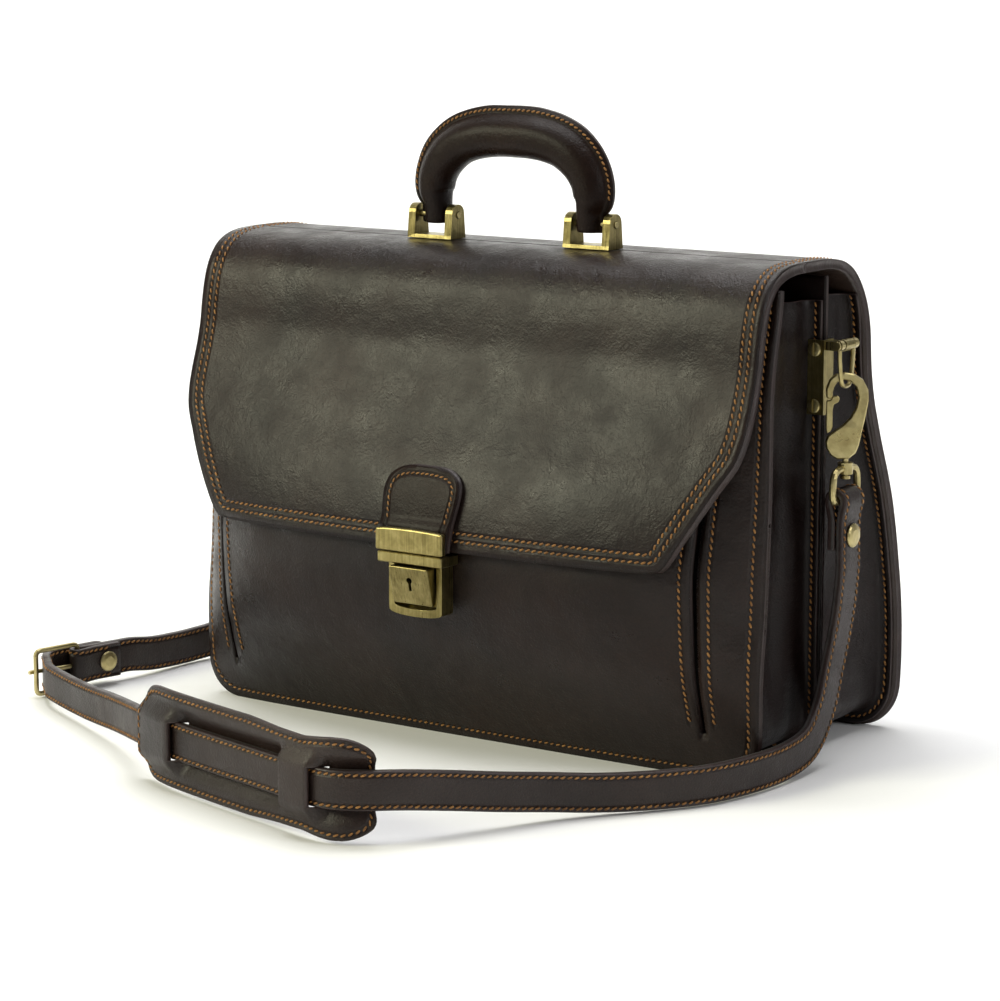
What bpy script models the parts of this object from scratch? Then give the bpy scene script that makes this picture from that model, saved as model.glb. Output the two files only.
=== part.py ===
"""Leather briefcase with a flap, a press lock, a carrying handle and a clip-on shoulder strap.

Frame: origin at the bottom centre of the case, on the ground. +X is the wearer's right seen from the front,
-Y is the front (the flap's side) and +Z is up. Lengths below are in millimetres and MM turns them to metres.
"""

import bisect
import math

import bmesh
import bpy
from mathutils import Matrix, Vector

MM = 0.001

# Case
HALF_WIDTH = 200.0
CORNER_RADIUS = 25.0
SHELL_THICKNESS = 5.6
FRONT_THICKNESS = 3.0
POCKET_WALL_THICKNESS = 1.6
GUSSET_THICKNESS = 2.2
DIVIDER_THICKNESS = 2.4
DIVIDER_Y = -0.4
GAP = 0.3
PANEL_TOP = 277.0
DIVIDER_TOP = 281.0
GUSSET_INSET = 10.0
SLIT_INNER = 168.0
SLIT_OUTER = 172.5
SLIT_BOTTOM = 26.0

# Shell: outer surface in the YZ plane, from the flap's lower edge over the top to the back's lower edge.
FLAP_PROFILE = [(-111.0, 123.0), (-108.5, 140.0), (-104.0, 157.0), (-98.5, 172.0), (-93.0, 185.0),
                (-88.5, 197.0), (-84.0, 209.0), (-79.5, 222.0), (-76.0, 235.0), (-74.0, 248.0),
                (-72.0, 258.0), (-69.0, 268.0), (-64.0, 277.0), (-57.0, 284.0)]
TOP_PROFILE = [(-57.0, 284.0), (-47.0, 288.5), (-35.0, 290.5), (-22.0, 291.0), (-10.0, 291.0), (2.0, 291.0),
               (12.0, 290.0), (22.0, 287.6), (31.5, 282.8), (39.0, 276.0)]
BACK_PROFILE = [(39.0, 276.0), (44.5, 268.0), (48.0, 259.0), (50.0, 248.0), (51.0, 235.0), (52.5, 221.0),
                (56.0, 205.0), (61.0, 191.0), (67.0, 176.0), (74.5, 159.0), (81.0, 142.0), (86.5, 122.0),
                (90.5, 103.0), (94.0, 84.0), (96.0, 65.0), (96.5, 45.0), (95.5, 28.0), (94.3, 20.0),
                (93.2, 13.0), (92.2, 7.0), (91.5, 3.0), (91.0, 0.0)]
FLAP_OUTLINE = [(123.0, 150.0), (124.5, 157.5), (130.0, 162.5), (140.0, 168.5), (157.0, 178.5),
                (172.0, 187.0), (185.0, 194.5), (197.0, 197.5), (209.0, 198.5), (300.0, 198.5)]
FLAP_BULGE = [(123.0, 10.0), (160.0, 8.0), (200.0, 4.0), (235.0, 0.0), (300.0, 0.0)]

# Front panel: side edge's y, and how far the middle stands in front of it, both over z.
FRONT_EDGE = [(0.0, -69.0), (26.0, -71.0), (60.0, -71.0), (94.0, -67.0), (128.0, -65.0), (162.0, -63.5),
              (190.0, -63.5), (218.0, -63.5), (240.0, -60.5), (262.0, -55.0), (282.0, -53.0)]
FRONT_BULGE = [(0.0, 5.0), (26.0, 16.0), (60.0, 31.0), (95.0, 43.0), (120.0, 47.0), (160.0, 36.0),
               (200.0, 16.0), (240.0, 6.3), (262.0, 5.6), (282.0, 0.0)]
POCKET_SHARE = [(0.0, 0.62), (150.0, 0.62), (220.0, 0.15), (300.0, 0.15)]
POCKET_TOP = 256.0

# Lock, in its own frame: x across, y back from its rear face, z up from its lower edge.
LOCK_ORIGIN = (0.0, -112.4, 81.0)
BAR_SIZE = (46.0, 17.6, 6.4)
FRAME_WIDTH = 38.0
FRAME_DEPTH = 11.2
FRAME_HEIGHT = 32.4
WINDOW_HALF = 15.2
HASP_HALF = 23.8

# Handle
HANDLE_Y = -24.0
BRACKET_X = 56.5
PIN_Z = 305.5
PIN_RADIUS = 2.0

# Shoulder strap and its fittings
CLIP_X = 214.0
CLIP_Y = 0.0
RING_PIN_Z = 243.5
RING_PIN_X = 213.4
STRAP_WIDTH = 22.0
STRAP_THICKNESS = 5.0
BUCKLE_BAR_RADIUS = 1.6

# Origins of the pieces that move, each on its own axis
ORIGINS = {"flap": (0.0, -57.0, 284.0), "lock_tab": (0.0, -57.0, 284.0), "hasp": (0.0, -57.0, 284.0),
           "top_cover": (0.0, 39.0, 276.0), "top_stiffener": (0.0, 39.0, 276.0),
           "handle_grip": (0.0, HANDLE_Y, PIN_Z),
           "press_plate": (0.0, -121.0, 88.4), "key_lever": (0.0, -120.6, 103.4),
           "ring_left": (-RING_PIN_X, 0.0, RING_PIN_Z), "ring_right": (RING_PIN_X, 0.0, RING_PIN_Z),
           "hook_left": (-CLIP_X, CLIP_Y, 172.5), "hook_right": (CLIP_X, CLIP_Y, 172.5),
           "hook_gate_left": (-206.14, -5.5, 196.0), "hook_gate_right": (206.14, -5.5, 196.0),
           "buckle_prong": (-270.0, -118.0, 15.8), "shoulder_pad": (-10.0, -285.0, 29.4)}

LEATHER = ((0.035, 0.018, 0.014), 0.35, 0.0)
STRAP_LEATHER = ((0.045, 0.022, 0.017), 0.4, 0.0)
GUSSET_LEATHER = ((0.03, 0.015, 0.012), 0.45, 0.0)
BRASS = ((0.46, 0.38, 0.2), 0.35, 1.0)
STIFFENER = ((0.12, 0.1, 0.08), 0.8, 0.0)

for old in list(bpy.data.objects):
    bpy.data.objects.remove(old, do_unlink=True)
PARTS = bpy.data.collections.new("leather_briefcase")
CUTTERS = bpy.data.collections.new("cutters")
bpy.context.scene.collection.children.link(PARTS)
bpy.context.scene.collection.children.link(CUTTERS)
CUTTERS.hide_render = True


def material(name, look):
    """A Principled material of this colour, roughness and metallic."""
    made = bpy.data.materials.new(name)
    made.use_nodes = True
    shader = made.node_tree.nodes["Principled BSDF"]
    shader.inputs["Base Color"].default_value = (*look[0], 1.0)
    shader.inputs["Roughness"].default_value = look[1]
    shader.inputs["Metallic"].default_value = look[2]
    made.diffuse_color = (*look[0], 1.0)
    return made


def between(table, key):
    """Linear value at key of a table of (key, value) pairs."""
    keys = [row[0] for row in table]
    if key <= keys[0]:
        return table[0][1]
    if key >= keys[-1]:
        return table[-1][1]
    i = bisect.bisect_right(keys, key) - 1
    share = (key - keys[i]) / (keys[i + 1] - keys[i])
    return table[i][1] * (1.0 - share) + table[i + 1][1] * share


def finish(name, bm, look, smooth=False, flat_angle=35.0):
    """Makes one closed mesh object out of bm, whose points are in millimetres."""
    bmesh.ops.recalc_face_normals(bm, faces=bm.faces[:])
    if bm.calc_volume(signed=True) < 0.0:
        bmesh.ops.reverse_faces(bm, faces=bm.faces[:])
    origin = Vector(ORIGINS.get(name, (0.0, 0.0, 0.0)))
    bmesh.ops.translate(bm, vec=-origin, verts=bm.verts[:])
    bmesh.ops.scale(bm, vec=(MM, MM, MM), verts=bm.verts[:])
    mesh = bpy.data.meshes.new(name)
    bm.to_mesh(mesh)
    bm.free()
    made = bpy.data.objects.new(name, mesh)
    made.location = origin * MM
    if look is None:
        CUTTERS.objects.link(made)
        made.hide_render = True
        made.display_type = "WIRE"
        return made
    PARTS.objects.link(made)
    mesh.materials.append(material(name, look))
    if smooth:
        mesh.shade_smooth()
        mesh.set_sharp_from_angle(angle=math.radians(flat_angle))
    return made


def slab(name, outer, inner, look, skip=None):
    """A sheet between two grids of points of the same size, with the cells that skip names left open."""
    bm = bmesh.new()
    near = [[bm.verts.new(point) for point in row] for row in outer]
    far = [[bm.verts.new(point) for point in row] for row in inner]
    twin = {}
    for row, other in zip(near, far):
        twin.update(zip(row, other))
    for i in range(len(near) - 1):
        for j in range(len(near[0]) - 1):
            if skip and skip(i, j):
                continue
            bm.faces.new((near[i][j], near[i + 1][j], near[i + 1][j + 1], near[i][j + 1]))
            bm.faces.new((far[i][j], far[i][j + 1], far[i + 1][j + 1], far[i + 1][j]))
    rim = [edge for edge in bm.edges if len(edge.link_faces) == 1 and edge.verts[0] in twin]
    for edge in rim:
        a, b = edge.verts
        bm.faces.new((a, b, twin[b], twin[a]))
    bmesh.ops.delete(bm, geom=[v for v in bm.verts if not v.link_faces], context="VERTS")
    return finish(name, bm, look, smooth=True)


def loft(bm, rings, closed=False):
    """Skins a list of rings of the same number of points, with flat ends unless closed."""
    made = [[bm.verts.new(point) for point in ring] for ring in rings]
    count = len(made[0])
    pairs = list(zip(made, made[1:]))
    if closed:
        pairs.append((made[-1], made[0]))
    for ring, other in pairs:
        for k in range(count):
            bm.faces.new((ring[k], ring[(k + 1) % count], other[(k + 1) % count], other[k]))
    if not closed:
        bm.faces.new(made[0][::-1])
        bm.faces.new(made[-1])
    return bm


def smooth_path(points, steps, closed=False):
    """Catmull-Rom points through rows of numbers, with steps spans between each pair."""
    rows = [Vector(point) for point in points]
    last = len(rows) if closed else len(rows) - 1
    found = []
    for i in range(last):
        p1 = rows[i]
        p2 = rows[(i + 1) % len(rows)]
        p0 = rows[i - 1] if closed or i else p1 * 2.0 - p2
        p3 = rows[(i + 2) % len(rows)] if closed or i + 2 < len(rows) else p2 * 2.0 - p1
        for k in range(steps):
            t = k / steps
            found.append(0.5 * (2.0 * p1 + (p2 - p0) * t + (2.0 * p0 - 5.0 * p1 + 4.0 * p2 - p3) * t * t
                                + (3.0 * p1 - p0 - 3.0 * p2 + p3) * t * t * t))
    if not closed:
        found.append(rows[-1])
    return found


def tangents(points, closed=False):
    """The unit direction of a path at each of its points."""
    count = len(points)
    found = []
    for i in range(count):
        ahead = points[(i + 1) % count] if closed else points[min(i + 1, count - 1)]
        behind = points[i - 1] if closed or i else points[0]
        found.append((ahead - behind).normalized())
    return found


def tube(bm, points, radius, sides, side_axis, closed=False):
    """A round wire along points, which all lie in one plane with the normal side_axis."""
    axis = Vector(side_axis).normalized()
    points = [Vector(point) for point in points]
    rings = []
    for point, along in zip(points, tangents(points, closed)):
        across = along.cross(axis).normalized()
        turns = [2.0 * math.pi * k / sides for k in range(sides)]
        rings.append([point + (across * math.cos(a) + axis * math.sin(a)) * radius for a in turns])
    return loft(bm, rings, closed)


def prism(bm, outline, low, high, place):
    """Extrudes a 2D outline from low to high, where place turns (u, v, depth) into a point."""
    return loft(bm, [[place(u, v, depth) for u, v in outline] for depth in (low, high)])


def rod(bm, start, end, radius, sides=20, end_radius=None):
    """A round bar from start to end."""
    start = Vector(start)
    end = Vector(end)
    turn = (end - start).to_track_quat("Z", "Y").to_matrix().to_4x4()
    bmesh.ops.create_cone(bm, cap_ends=True, segments=sides, radius1=radius,
                          radius2=radius if end_radius is None else end_radius, depth=(end - start).length,
                          matrix=Matrix.Translation((start + end) / 2.0) @ turn)
    return bm


def box(bm, low, high):
    """An axis-aligned box."""
    low = Vector(low)
    high = Vector(high)
    bmesh.ops.create_cube(bm, size=1.0, matrix=Matrix.LocRotScale((low + high) / 2.0, None, high - low))
    return bm


def dome(bm, centre, direction, radius, height, sides=24, rim=0.8):
    """A low rivet head: a flat disc with a domed top, standing on centre towards direction."""
    turn = Vector(direction).to_track_quat("Z", "Y")
    profile = [(radius, 0.0), (radius, rim), (radius * 0.86, rim + (height - rim) * 0.55),
               (radius * 0.5, rim + (height - rim) * 0.9)]
    rings = []
    for r, up in profile:
        turns = [2.0 * math.pi * k / sides for k in range(sides)]
        rings.append([Vector(centre) + turn @ Vector((r * math.cos(a), r * math.sin(a), up)) for a in turns])
    return loft(bm, rings)


def boolean(target, cutter, operation):
    """Adds an exact Boolean of the cutter to the target."""
    modifier = target.modifiers.new(operation.lower(), "BOOLEAN")
    modifier.operation = operation
    modifier.solver = "EXACT"
    modifier.object = cutter
    return modifier


def bevel(target, width, segments=1, angle=40.0):
    """Rounds the sharp edges of the target by width, in millimetres."""
    modifier = target.modifiers.new("bevel", "BEVEL")
    modifier.width = width * MM
    modifier.segments = segments
    modifier.limit_method = "ANGLE"
    modifier.angle_limit = math.radians(angle)
    return modifier


def corner_half_width(z):
    """Half the width of a panel at this height, with its lower corners rounded."""
    if z >= CORNER_RADIUS:
        return HALF_WIDTH
    drop = CORNER_RADIUS - z
    return HALF_WIDTH - CORNER_RADIUS + math.sqrt(max(CORNER_RADIUS ** 2 - drop ** 2, 0.0))


def front_y(x, z):
    """The front panel's outer surface."""
    middle = 1.0 - min(abs(x) / HALF_WIDTH, 1.0) ** 5.5
    return between(FRONT_EDGE, z) - between(FRONT_BULGE, z) * middle


def pocket_y(x, z):
    """The wall behind the front pocket: flat where it is sewn to the gusset, with part of the bulge."""
    outward = between(FRONT_EDGE, z) + FRONT_THICKNESS + GAP
    share = min(max((184.0 - abs(x)) / 36.0, 0.0), 1.0)
    rise = min(max((z - 20.0) / 22.0, 0.0), 1.0)
    kept = between(POCKET_SHARE, z) * rise * share * share * (3.0 - 2.0 * share)
    return outward - between(FRONT_BULGE, z) * kept


def inset_profile(profile, depth):
    """The profile moved in by depth, square to its own direction."""
    points = [Vector((y, z)) for y, z in profile]
    found = []
    for point, along in zip(points, tangents(points)):
        found.append((point.x + along.y * depth, point.y - along.x * depth))
    return found


SHELL_PROFILE = FLAP_PROFILE[:-1] + TOP_PROFILE + BACK_PROFILE[1:]
SHELL_INNER = inset_profile(SHELL_PROFILE, SHELL_THICKNESS)
FLAP_LAST = len(FLAP_PROFILE) - 1
TOP_LAST = FLAP_LAST + len(TOP_PROFILE) - 1


def back_inner_y(z):
    """The back panel's inner surface."""
    table = sorted((point[1], point[0]) for point in SHELL_INNER[TOP_LAST:])
    return between(table, z)


def shell_rows(first, last, half_width, columns):
    """Outer and inner grids of one stretch of the shell."""
    outer = []
    inner = []
    for i in range(first, last + 1):
        y, z = SHELL_PROFILE[i]
        inner_y, inner_z = SHELL_INNER[i]
        edge = half_width(z)
        bulge = between(FLAP_BULGE, z) if i <= FLAP_LAST else 0.0
        xs = [edge * share for share in columns]
        pushed = [bulge * (1.0 - abs(share) ** 3) for share in columns]
        outer.append([(x, y - push, z) for x, push in zip(xs, pushed)])
        inner.append([(x, inner_y - push, max(inner_z, 0.0)) for x, push in zip(xs, pushed)])
    return outer, inner


def pull_back(rows, along, first):
    """Moves a stretch's end row away from its neighbour, to leave half the gap between them."""
    end, other = (rows[0], rows[1]) if first else (rows[-1], rows[-2])
    for j, point in enumerate(end):
        step = (Vector(other[j]) - Vector(point)).normalized() * (GAP / 2.0 * along)
        end[j] = tuple(Vector(point) + step)


COLUMNS = [-1.0, -0.92, -0.8, -0.6, -0.4, -0.2, 0.0, 0.2, 0.4, 0.6, 0.8, 0.92, 1.0]

flap_outer, flap_inner = shell_rows(0, FLAP_LAST, lambda z: between(FLAP_OUTLINE, z), COLUMNS)
pull_back(flap_outer, 1.0, False)
pull_back(flap_inner, 1.0, False)
flap = slab("flap", flap_outer, flap_inner, LEATHER)

top_outer, top_inner = shell_rows(FLAP_LAST, TOP_LAST, lambda z: 198.5, COLUMNS)
for end in (True, False):
    pull_back(top_outer, 1.0, end)
    pull_back(top_inner, 1.0, end)
top_cover = slab("top_cover", top_outer, top_inner, LEATHER)

back_outer, back_inner = shell_rows(TOP_LAST, len(SHELL_PROFILE) - 1, corner_half_width, COLUMNS)
pull_back(back_outer, 1.0, True)
pull_back(back_inner, 1.0, True)
rear_cover = slab("rear_cover", back_outer, back_inner, LEATHER)

# Front panel: its middle part is the outer wall of a pocket, open at the top and slit down both sides.
FRONT_Z = [0.0, 3.0, 7.0, 13.0, 20.0, 26.0, 42.0, 60.0, 77.0, 94.0, 111.0, 128.0, 145.0, 162.0, 190.0, 218.0,
           240.0, 262.0, PANEL_TOP]
FRONT_X = [-1.0, -0.965, -0.93, -SLIT_OUTER / HALF_WIDTH, -SLIT_INNER / HALF_WIDTH, -0.75, -0.55, -0.3, 0.0,
           0.3, 0.55, 0.75, SLIT_INNER / HALF_WIDTH, SLIT_OUTER / HALF_WIDTH, 0.93, 0.965, 1.0]


def front_grid(surface, depth, heights, columns):
    """Outer and inner grids of a panel whose y is surface(x, z) and whose depth runs along +Y."""
    outer = []
    inner = []
    for z in heights:
        edge = corner_half_width(z)
        xs = [edge * share for share in columns]
        outer.append([(x, surface(x, z), z) for x in xs])
        inner.append([(x, surface(x, z) + depth, z) for x in xs])
    return outer, inner


def in_slit(i, j):
    """Whether this cell of the front panel is one of its two slits."""
    return FRONT_Z[i] >= SLIT_BOTTOM and j in (3, 12)


front_outer, front_inner = front_grid(front_y, FRONT_THICKNESS, FRONT_Z, FRONT_X)
for rows in (front_outer, front_inner):
    for row, lowered in ((rows[-2], POCKET_TOP - 7.0), (rows[-1], POCKET_TOP)):
        for j in range(4, 13):
            y = front_y(row[j][0], lowered) + (FRONT_THICKNESS if rows is front_inner else 0.0)
            row[j] = (row[j][0], y, lowered)
front_panel = slab("front_panel", front_outer, front_inner, LEATHER, in_slit)
pocket_outer, pocket_inner = front_grid(pocket_y, POCKET_WALL_THICKNESS, FRONT_Z, FRONT_X)
pocket_wall = slab("pocket_wall", pocket_outer, pocket_inner, GUSSET_LEATHER)
DIVIDER_Z = [0.0, 3.0, 7.0, 13.0, 20.0, 29.0, 150.0, DIVIDER_TOP]
divider_outer, divider_inner = front_grid(lambda x, z: DIVIDER_Y - DIVIDER_THICKNESS / 2.0, DIVIDER_THICKNESS,
                                          DIVIDER_Z, [-1.0, 0.0, 1.0])
divider = slab("divider", divider_outer, divider_inner, LEATHER)


GUSSET_Z = [268.0, 262.0, 254.0, 248.0, 240.0, 235.0, 228.0, 218.0, 212.0, 205.0, 198.0, 190.0, 183.0,
            176.0, 168.0, 162.0, 150.0, 142.0, 128.0, 120.0, 103.0, 94.0, 84.0, 65.0, 60.0, 45.0]


def u_path(inset):
    """Points (x, z) of a U that follows the panels' side and lower edges at this inset."""
    radius = CORNER_RADIUS - inset * 0.4
    side = HALF_WIDTH - inset
    points = [(side, z) for z in GUSSET_Z]
    for k in range(7):
        turn = math.pi / 2.0 * k / 6.0
        points.append((side - radius + radius * math.cos(turn), inset + radius - radius * math.sin(turn)))
    points += [(x, inset) for x in (120.0, 70.0)]
    mirrored = [(-x, z) for x, z in points[::-1]]
    return points + [(0.0, inset)] + mirrored


def gusset(name, front_surface, rear_surface, fold):
    """A U-shaped gusset: a flange on each panel and a web between them that folds inwards by fold."""
    t = GUSSET_THICKNESS
    rim = u_path(0.4)
    deep = u_path(GUSSET_INSET)
    deep_in = u_path(GUSSET_INSET + t)
    outer = []
    inner = []
    for a, b, c in zip(rim, deep, deep_in):
        front_rim = front_surface(a[0], a[1])
        front_deep = front_surface(b[0], b[1])
        front_in = front_surface(c[0], c[1])
        rear_rim = rear_surface(a[0], a[1])
        rear_deep = rear_surface(b[0], b[1])
        rear_in = rear_surface(c[0], c[1])
        upright = min(max((b[1] - GUSSET_INSET) / 60.0, 0.0), 1.0)
        towards = Vector((c[0] - b[0], c[1] - b[1])) / t
        pushed = Vector(b) + towards * fold * upright
        pushed_in = pushed + towards * t
        middle = (front_deep + rear_deep) / 2.0
        outer.append([(a[0], front_rim + t, a[1]), (b[0], front_deep + t, b[1]),
                      (pushed.x, middle, pushed.y),
                      (b[0], rear_deep - t, b[1]), (a[0], rear_rim - t, a[1])])
        inner.append([(a[0], front_rim, a[1]), (c[0], front_in, c[1]),
                      (pushed_in.x, middle, pushed_in.y),
                      (c[0], rear_in, c[1]), (a[0], rear_rim, a[1])])
    return slab(name, outer, inner, GUSSET_LEATHER)


def behind_pocket(x, z):
    """Where the front gusset's front flange lies."""
    return pocket_y(x, z) + POCKET_WALL_THICKNESS + GAP


gusset("front_gusset", behind_pocket, lambda x, z: DIVIDER_Y - DIVIDER_THICKNESS / 2.0 - GAP, 4.0)
gusset("rear_gusset", lambda x, z: DIVIDER_Y + DIVIDER_THICKNESS / 2.0 + GAP,
       lambda x, z: back_inner_y(z) - 2.0 * GAP, 9.0)

# Stiffener under the top, which the handle's brackets are riveted through.
stiffener_bm = box(bmesh.new(), (-150.0, -34.0, 281.6), (150.0, 6.0, 283.8))
finish("top_stiffener", stiffener_bm, STIFFENER)

# Tab and hasp on the flap


def flap_y(z):
    """The flap's outer surface in its middle."""
    return between([(point[1], point[0]) for point in FLAP_PROFILE], z) - between(FLAP_BULGE, z)


TAB_ROWS = [(121.5, 22.5), (128.0, 23.0), (135.0, 23.5), (145.0, 24.8), (153.0, 25.5), (159.0, 24.5),
            (163.0, 21.5), (166.0, 16.0)]
tab_outer = []
tab_inner = []
for tab_z, tab_half in TAB_ROWS:
    tab_y = flap_y(tab_z) - GAP - 0.6
    tab_front = min(tab_y - 4.2, -125.9) if tab_z < 136.0 else tab_y - 4.2
    xs = [tab_half * share for share in (-1.0, -0.5, 0.0, 0.5, 1.0)]
    tab_outer.append([(x, tab_front, tab_z) for x in xs])
    tab_inner.append([(x, tab_y, tab_z) for x in xs])
slab("lock_tab", tab_outer, tab_inner, LEATHER)

HASP_TOP = 133.6
HASP_BOTTOM = 120.0
hasp_outline = [(-HASP_HALF, HASP_BOTTOM), (HASP_HALF, HASP_BOTTOM), (HASP_HALF, HASP_TOP - 1.2)]
for k in range(1, 10):
    a = math.pi * k / 10.0
    hasp_outline.append((HASP_HALF * math.cos(a), HASP_TOP - 1.2 + 1.4 * math.sin(a)))
hasp_outline += [(-HASP_HALF, HASP_TOP - 1.2)]
hasp = finish("hasp", prism(bmesh.new(), hasp_outline, -130.6, -126.2, lambda u, v, d: Vector((u, d, v))),
              BRASS, smooth=True)
bevel(hasp, 0.9, 2)
tongue_bm = box(bmesh.new(), (-10.0, -127.4, 120.0), (10.0, -114.5, 121.3))
tongue_cut = finish("hasp_tongue", tongue_bm, None)
notch_cut = finish("tongue_notch", box(bmesh.new(), (-2.6, -120.6, 118.0), (2.6, -116.4, 123.0)), None)
boolean(hasp, tongue_cut, "UNION")
boolean(hasp, notch_cut, "DIFFERENCE")

# Lock body: a frame open at the front with a bar across its top
LOCK_FACE = LOCK_ORIGIN[1]
LOCK_LOW = LOCK_ORIGIN[2]
BAR_LOW = LOCK_LOW + FRAME_HEIGHT - 0.6
BAR_HIGH = BAR_LOW + BAR_SIZE[2]


def sagging(half, top, side, sag):
    """A frame outline with straight sides from top down to side and a rounded, sagging lower edge."""
    points = [(half, top), (half, side)]
    for k in range(1, 12):
        turn = math.pi * k / 12.0
        wide = half * math.cos(turn) * (1.0 + 0.08 * math.sin(turn))
        points.append((wide, side - sag * math.sin(turn) ** 0.6))
    return points + [(-half, side), (-half, top)]


lock_body = finish("lock_body",
                   prism(bmesh.new(), sagging(FRAME_WIDTH / 2.0, BAR_LOW + 1.0, LOCK_LOW + 5.0, 5.0),
                         LOCK_FACE - FRAME_DEPTH, LOCK_FACE, lambda u, v, d: Vector((u, d, v))),
                   BRASS, smooth=True)
window_cut = finish("lock_window",
                    prism(bmesh.new(), sagging(WINDOW_HALF, BAR_LOW + 0.2, LOCK_LOW + 8.0, 3.6),
                          LOCK_FACE - FRAME_DEPTH - 3.0, LOCK_FACE - 1.4, lambda u, v, d: Vector((u, d, v))),
                    None)
bar_bm = box(bmesh.new(), (-BAR_SIZE[0] / 2.0, LOCK_FACE - BAR_SIZE[1], BAR_LOW),
             (BAR_SIZE[0] / 2.0, LOCK_FACE, BAR_HIGH))
bmesh.ops.bevel(bar_bm, geom=bar_bm.edges[:], offset=0.7, segments=1, affect="EDGES", profile=0.5)
bar_cut = finish("lock_bar", bar_bm, None)
catch_bm = box(bmesh.new(), (-3.0, -121.6, BAR_LOW - 2.0), (3.0, -113.0, BAR_HIGH + 1.0))
catch_hole = finish("catch_hole", catch_bm, None)
boolean(lock_body, window_cut, "DIFFERENCE")
boolean(lock_body, bar_cut, "UNION")
boolean(lock_body, catch_hole, "DIFFERENCE")

# Press plate, hinged along its lower edge, with the catch nose behind it
PRESS_AXIS_Y = -121.0
PRESS_AXIS_Z = LOCK_LOW + 7.4
PRESS_HALF = 13.8
PRESS_TOP = BAR_LOW - 1.4
PRESS_LOW = PRESS_AXIS_Z + 0.4
press_side = [(-126.2, PRESS_LOW), (-131.6, PRESS_TOP), (-121.6, PRESS_TOP), (-121.6, PRESS_LOW)]
press_plate = finish("press_plate",
                     prism(bmesh.new(), press_side, -PRESS_HALF, PRESS_HALF,
                           lambda u, v, d: Vector((d, u, v))), BRASS)
bevel(press_plate, 0.8, 2)
KEY_Z = PRESS_TOP - 8.0
keyhole_cut = finish("keyhole", rod(bmesh.new(), (0.0, -140.0, KEY_Z), (0.0, -110.0, KEY_Z), 1.9, 16), None)
keyslot_cut = finish("keyslot", box(bmesh.new(), (-0.9, -140.0, KEY_Z - 6.4), (0.9, -110.0, KEY_Z)), None)
nose_bm = box(bmesh.new(), (-2.0, -122.6, PRESS_TOP - 3.6), (2.0, -117.4, PRESS_TOP))
nose_cut = finish("catch_nose", nose_bm, None)
nose_up_bm = box(bmesh.new(), (-2.0, -120.4, PRESS_TOP - 1.0), (2.0, -117.4, BAR_HIGH))
nose_up = finish("catch_nose_up", nose_up_bm, None)
boolean(press_plate, keyhole_cut, "DIFFERENCE")
boolean(press_plate, keyslot_cut, "DIFFERENCE")
boolean(press_plate, nose_cut, "UNION")
boolean(press_plate, nose_up, "UNION")

# Key lever behind the keyhole
lever_outline = []
for k in range(13):
    a = math.pi * k / 12.0
    lever_outline.append((3.6 * math.cos(a), KEY_Z + 3.6 * math.sin(a)))
lever_outline += [(-3.6, KEY_Z), (-2.2, KEY_Z - 9.0), (2.2, KEY_Z - 9.0)]
lever_bm = prism(bmesh.new(), lever_outline, -121.3, -119.9, lambda u, v, d: Vector((u, d, v)))
bmesh.ops.remove_doubles(lever_bm, verts=lever_bm.verts[:], dist=0.01)
key_lever = finish("key_lever", lever_bm, BRASS)
lever_hole = finish("lever_hole", rod(bmesh.new(), (0.0, -125.0, KEY_Z), (0.0, -116.0, KEY_Z), 1.2, 8), None)
boolean(key_lever, lever_hole, "DIFFERENCE")

# Handle: a padded arch with its ends between the prongs of two brackets
ARCH = [(-56.5, 300.0, 9.4, 7.6), (-56.5, 307.0, 9.8, 8.4), (-56.8, 313.0, 9.9, 9.6), (-58.4, 320.5, 13.0, 11.2),
        (-56.8, 331.0, 14.0, 11.5), (-50.0, 342.0, 15.0, 12.0), (-38.0, 351.0, 15.4, 12.0),
        (-20.0, 356.0, 15.6, 12.0), (0.0, 357.0, 15.6, 12.0)]
ARCH += [(-x, z, a, b) for x, z, a, b in ARCH[-2::-1]]
arch_centres = [Vector((row[0], HANDLE_Y, row[1])) for row in smooth_path([(p[0], p[1], 0.0) for p in ARCH], 2)]
arch_sizes = smooth_path([(p[2], p[3], 0.0) for p in ARCH], 2)
arch_rings = []
for centre, along, size in zip(arch_centres, tangents(arch_centres), arch_sizes):
    across = along.cross(Vector((0.0, 1.0, 0.0))).normalized()
    turns = [2.0 * math.pi * k / 14 for k in range(14)]
    arch_rings.append([centre + across * (math.cos(a) * size[0]) + Vector((0.0, math.sin(a) * size[1], 0.0))
                       for a in turns])
handle_grip = finish("handle_grip", loft(bmesh.new(), arch_rings), LEATHER, smooth=True)
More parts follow.
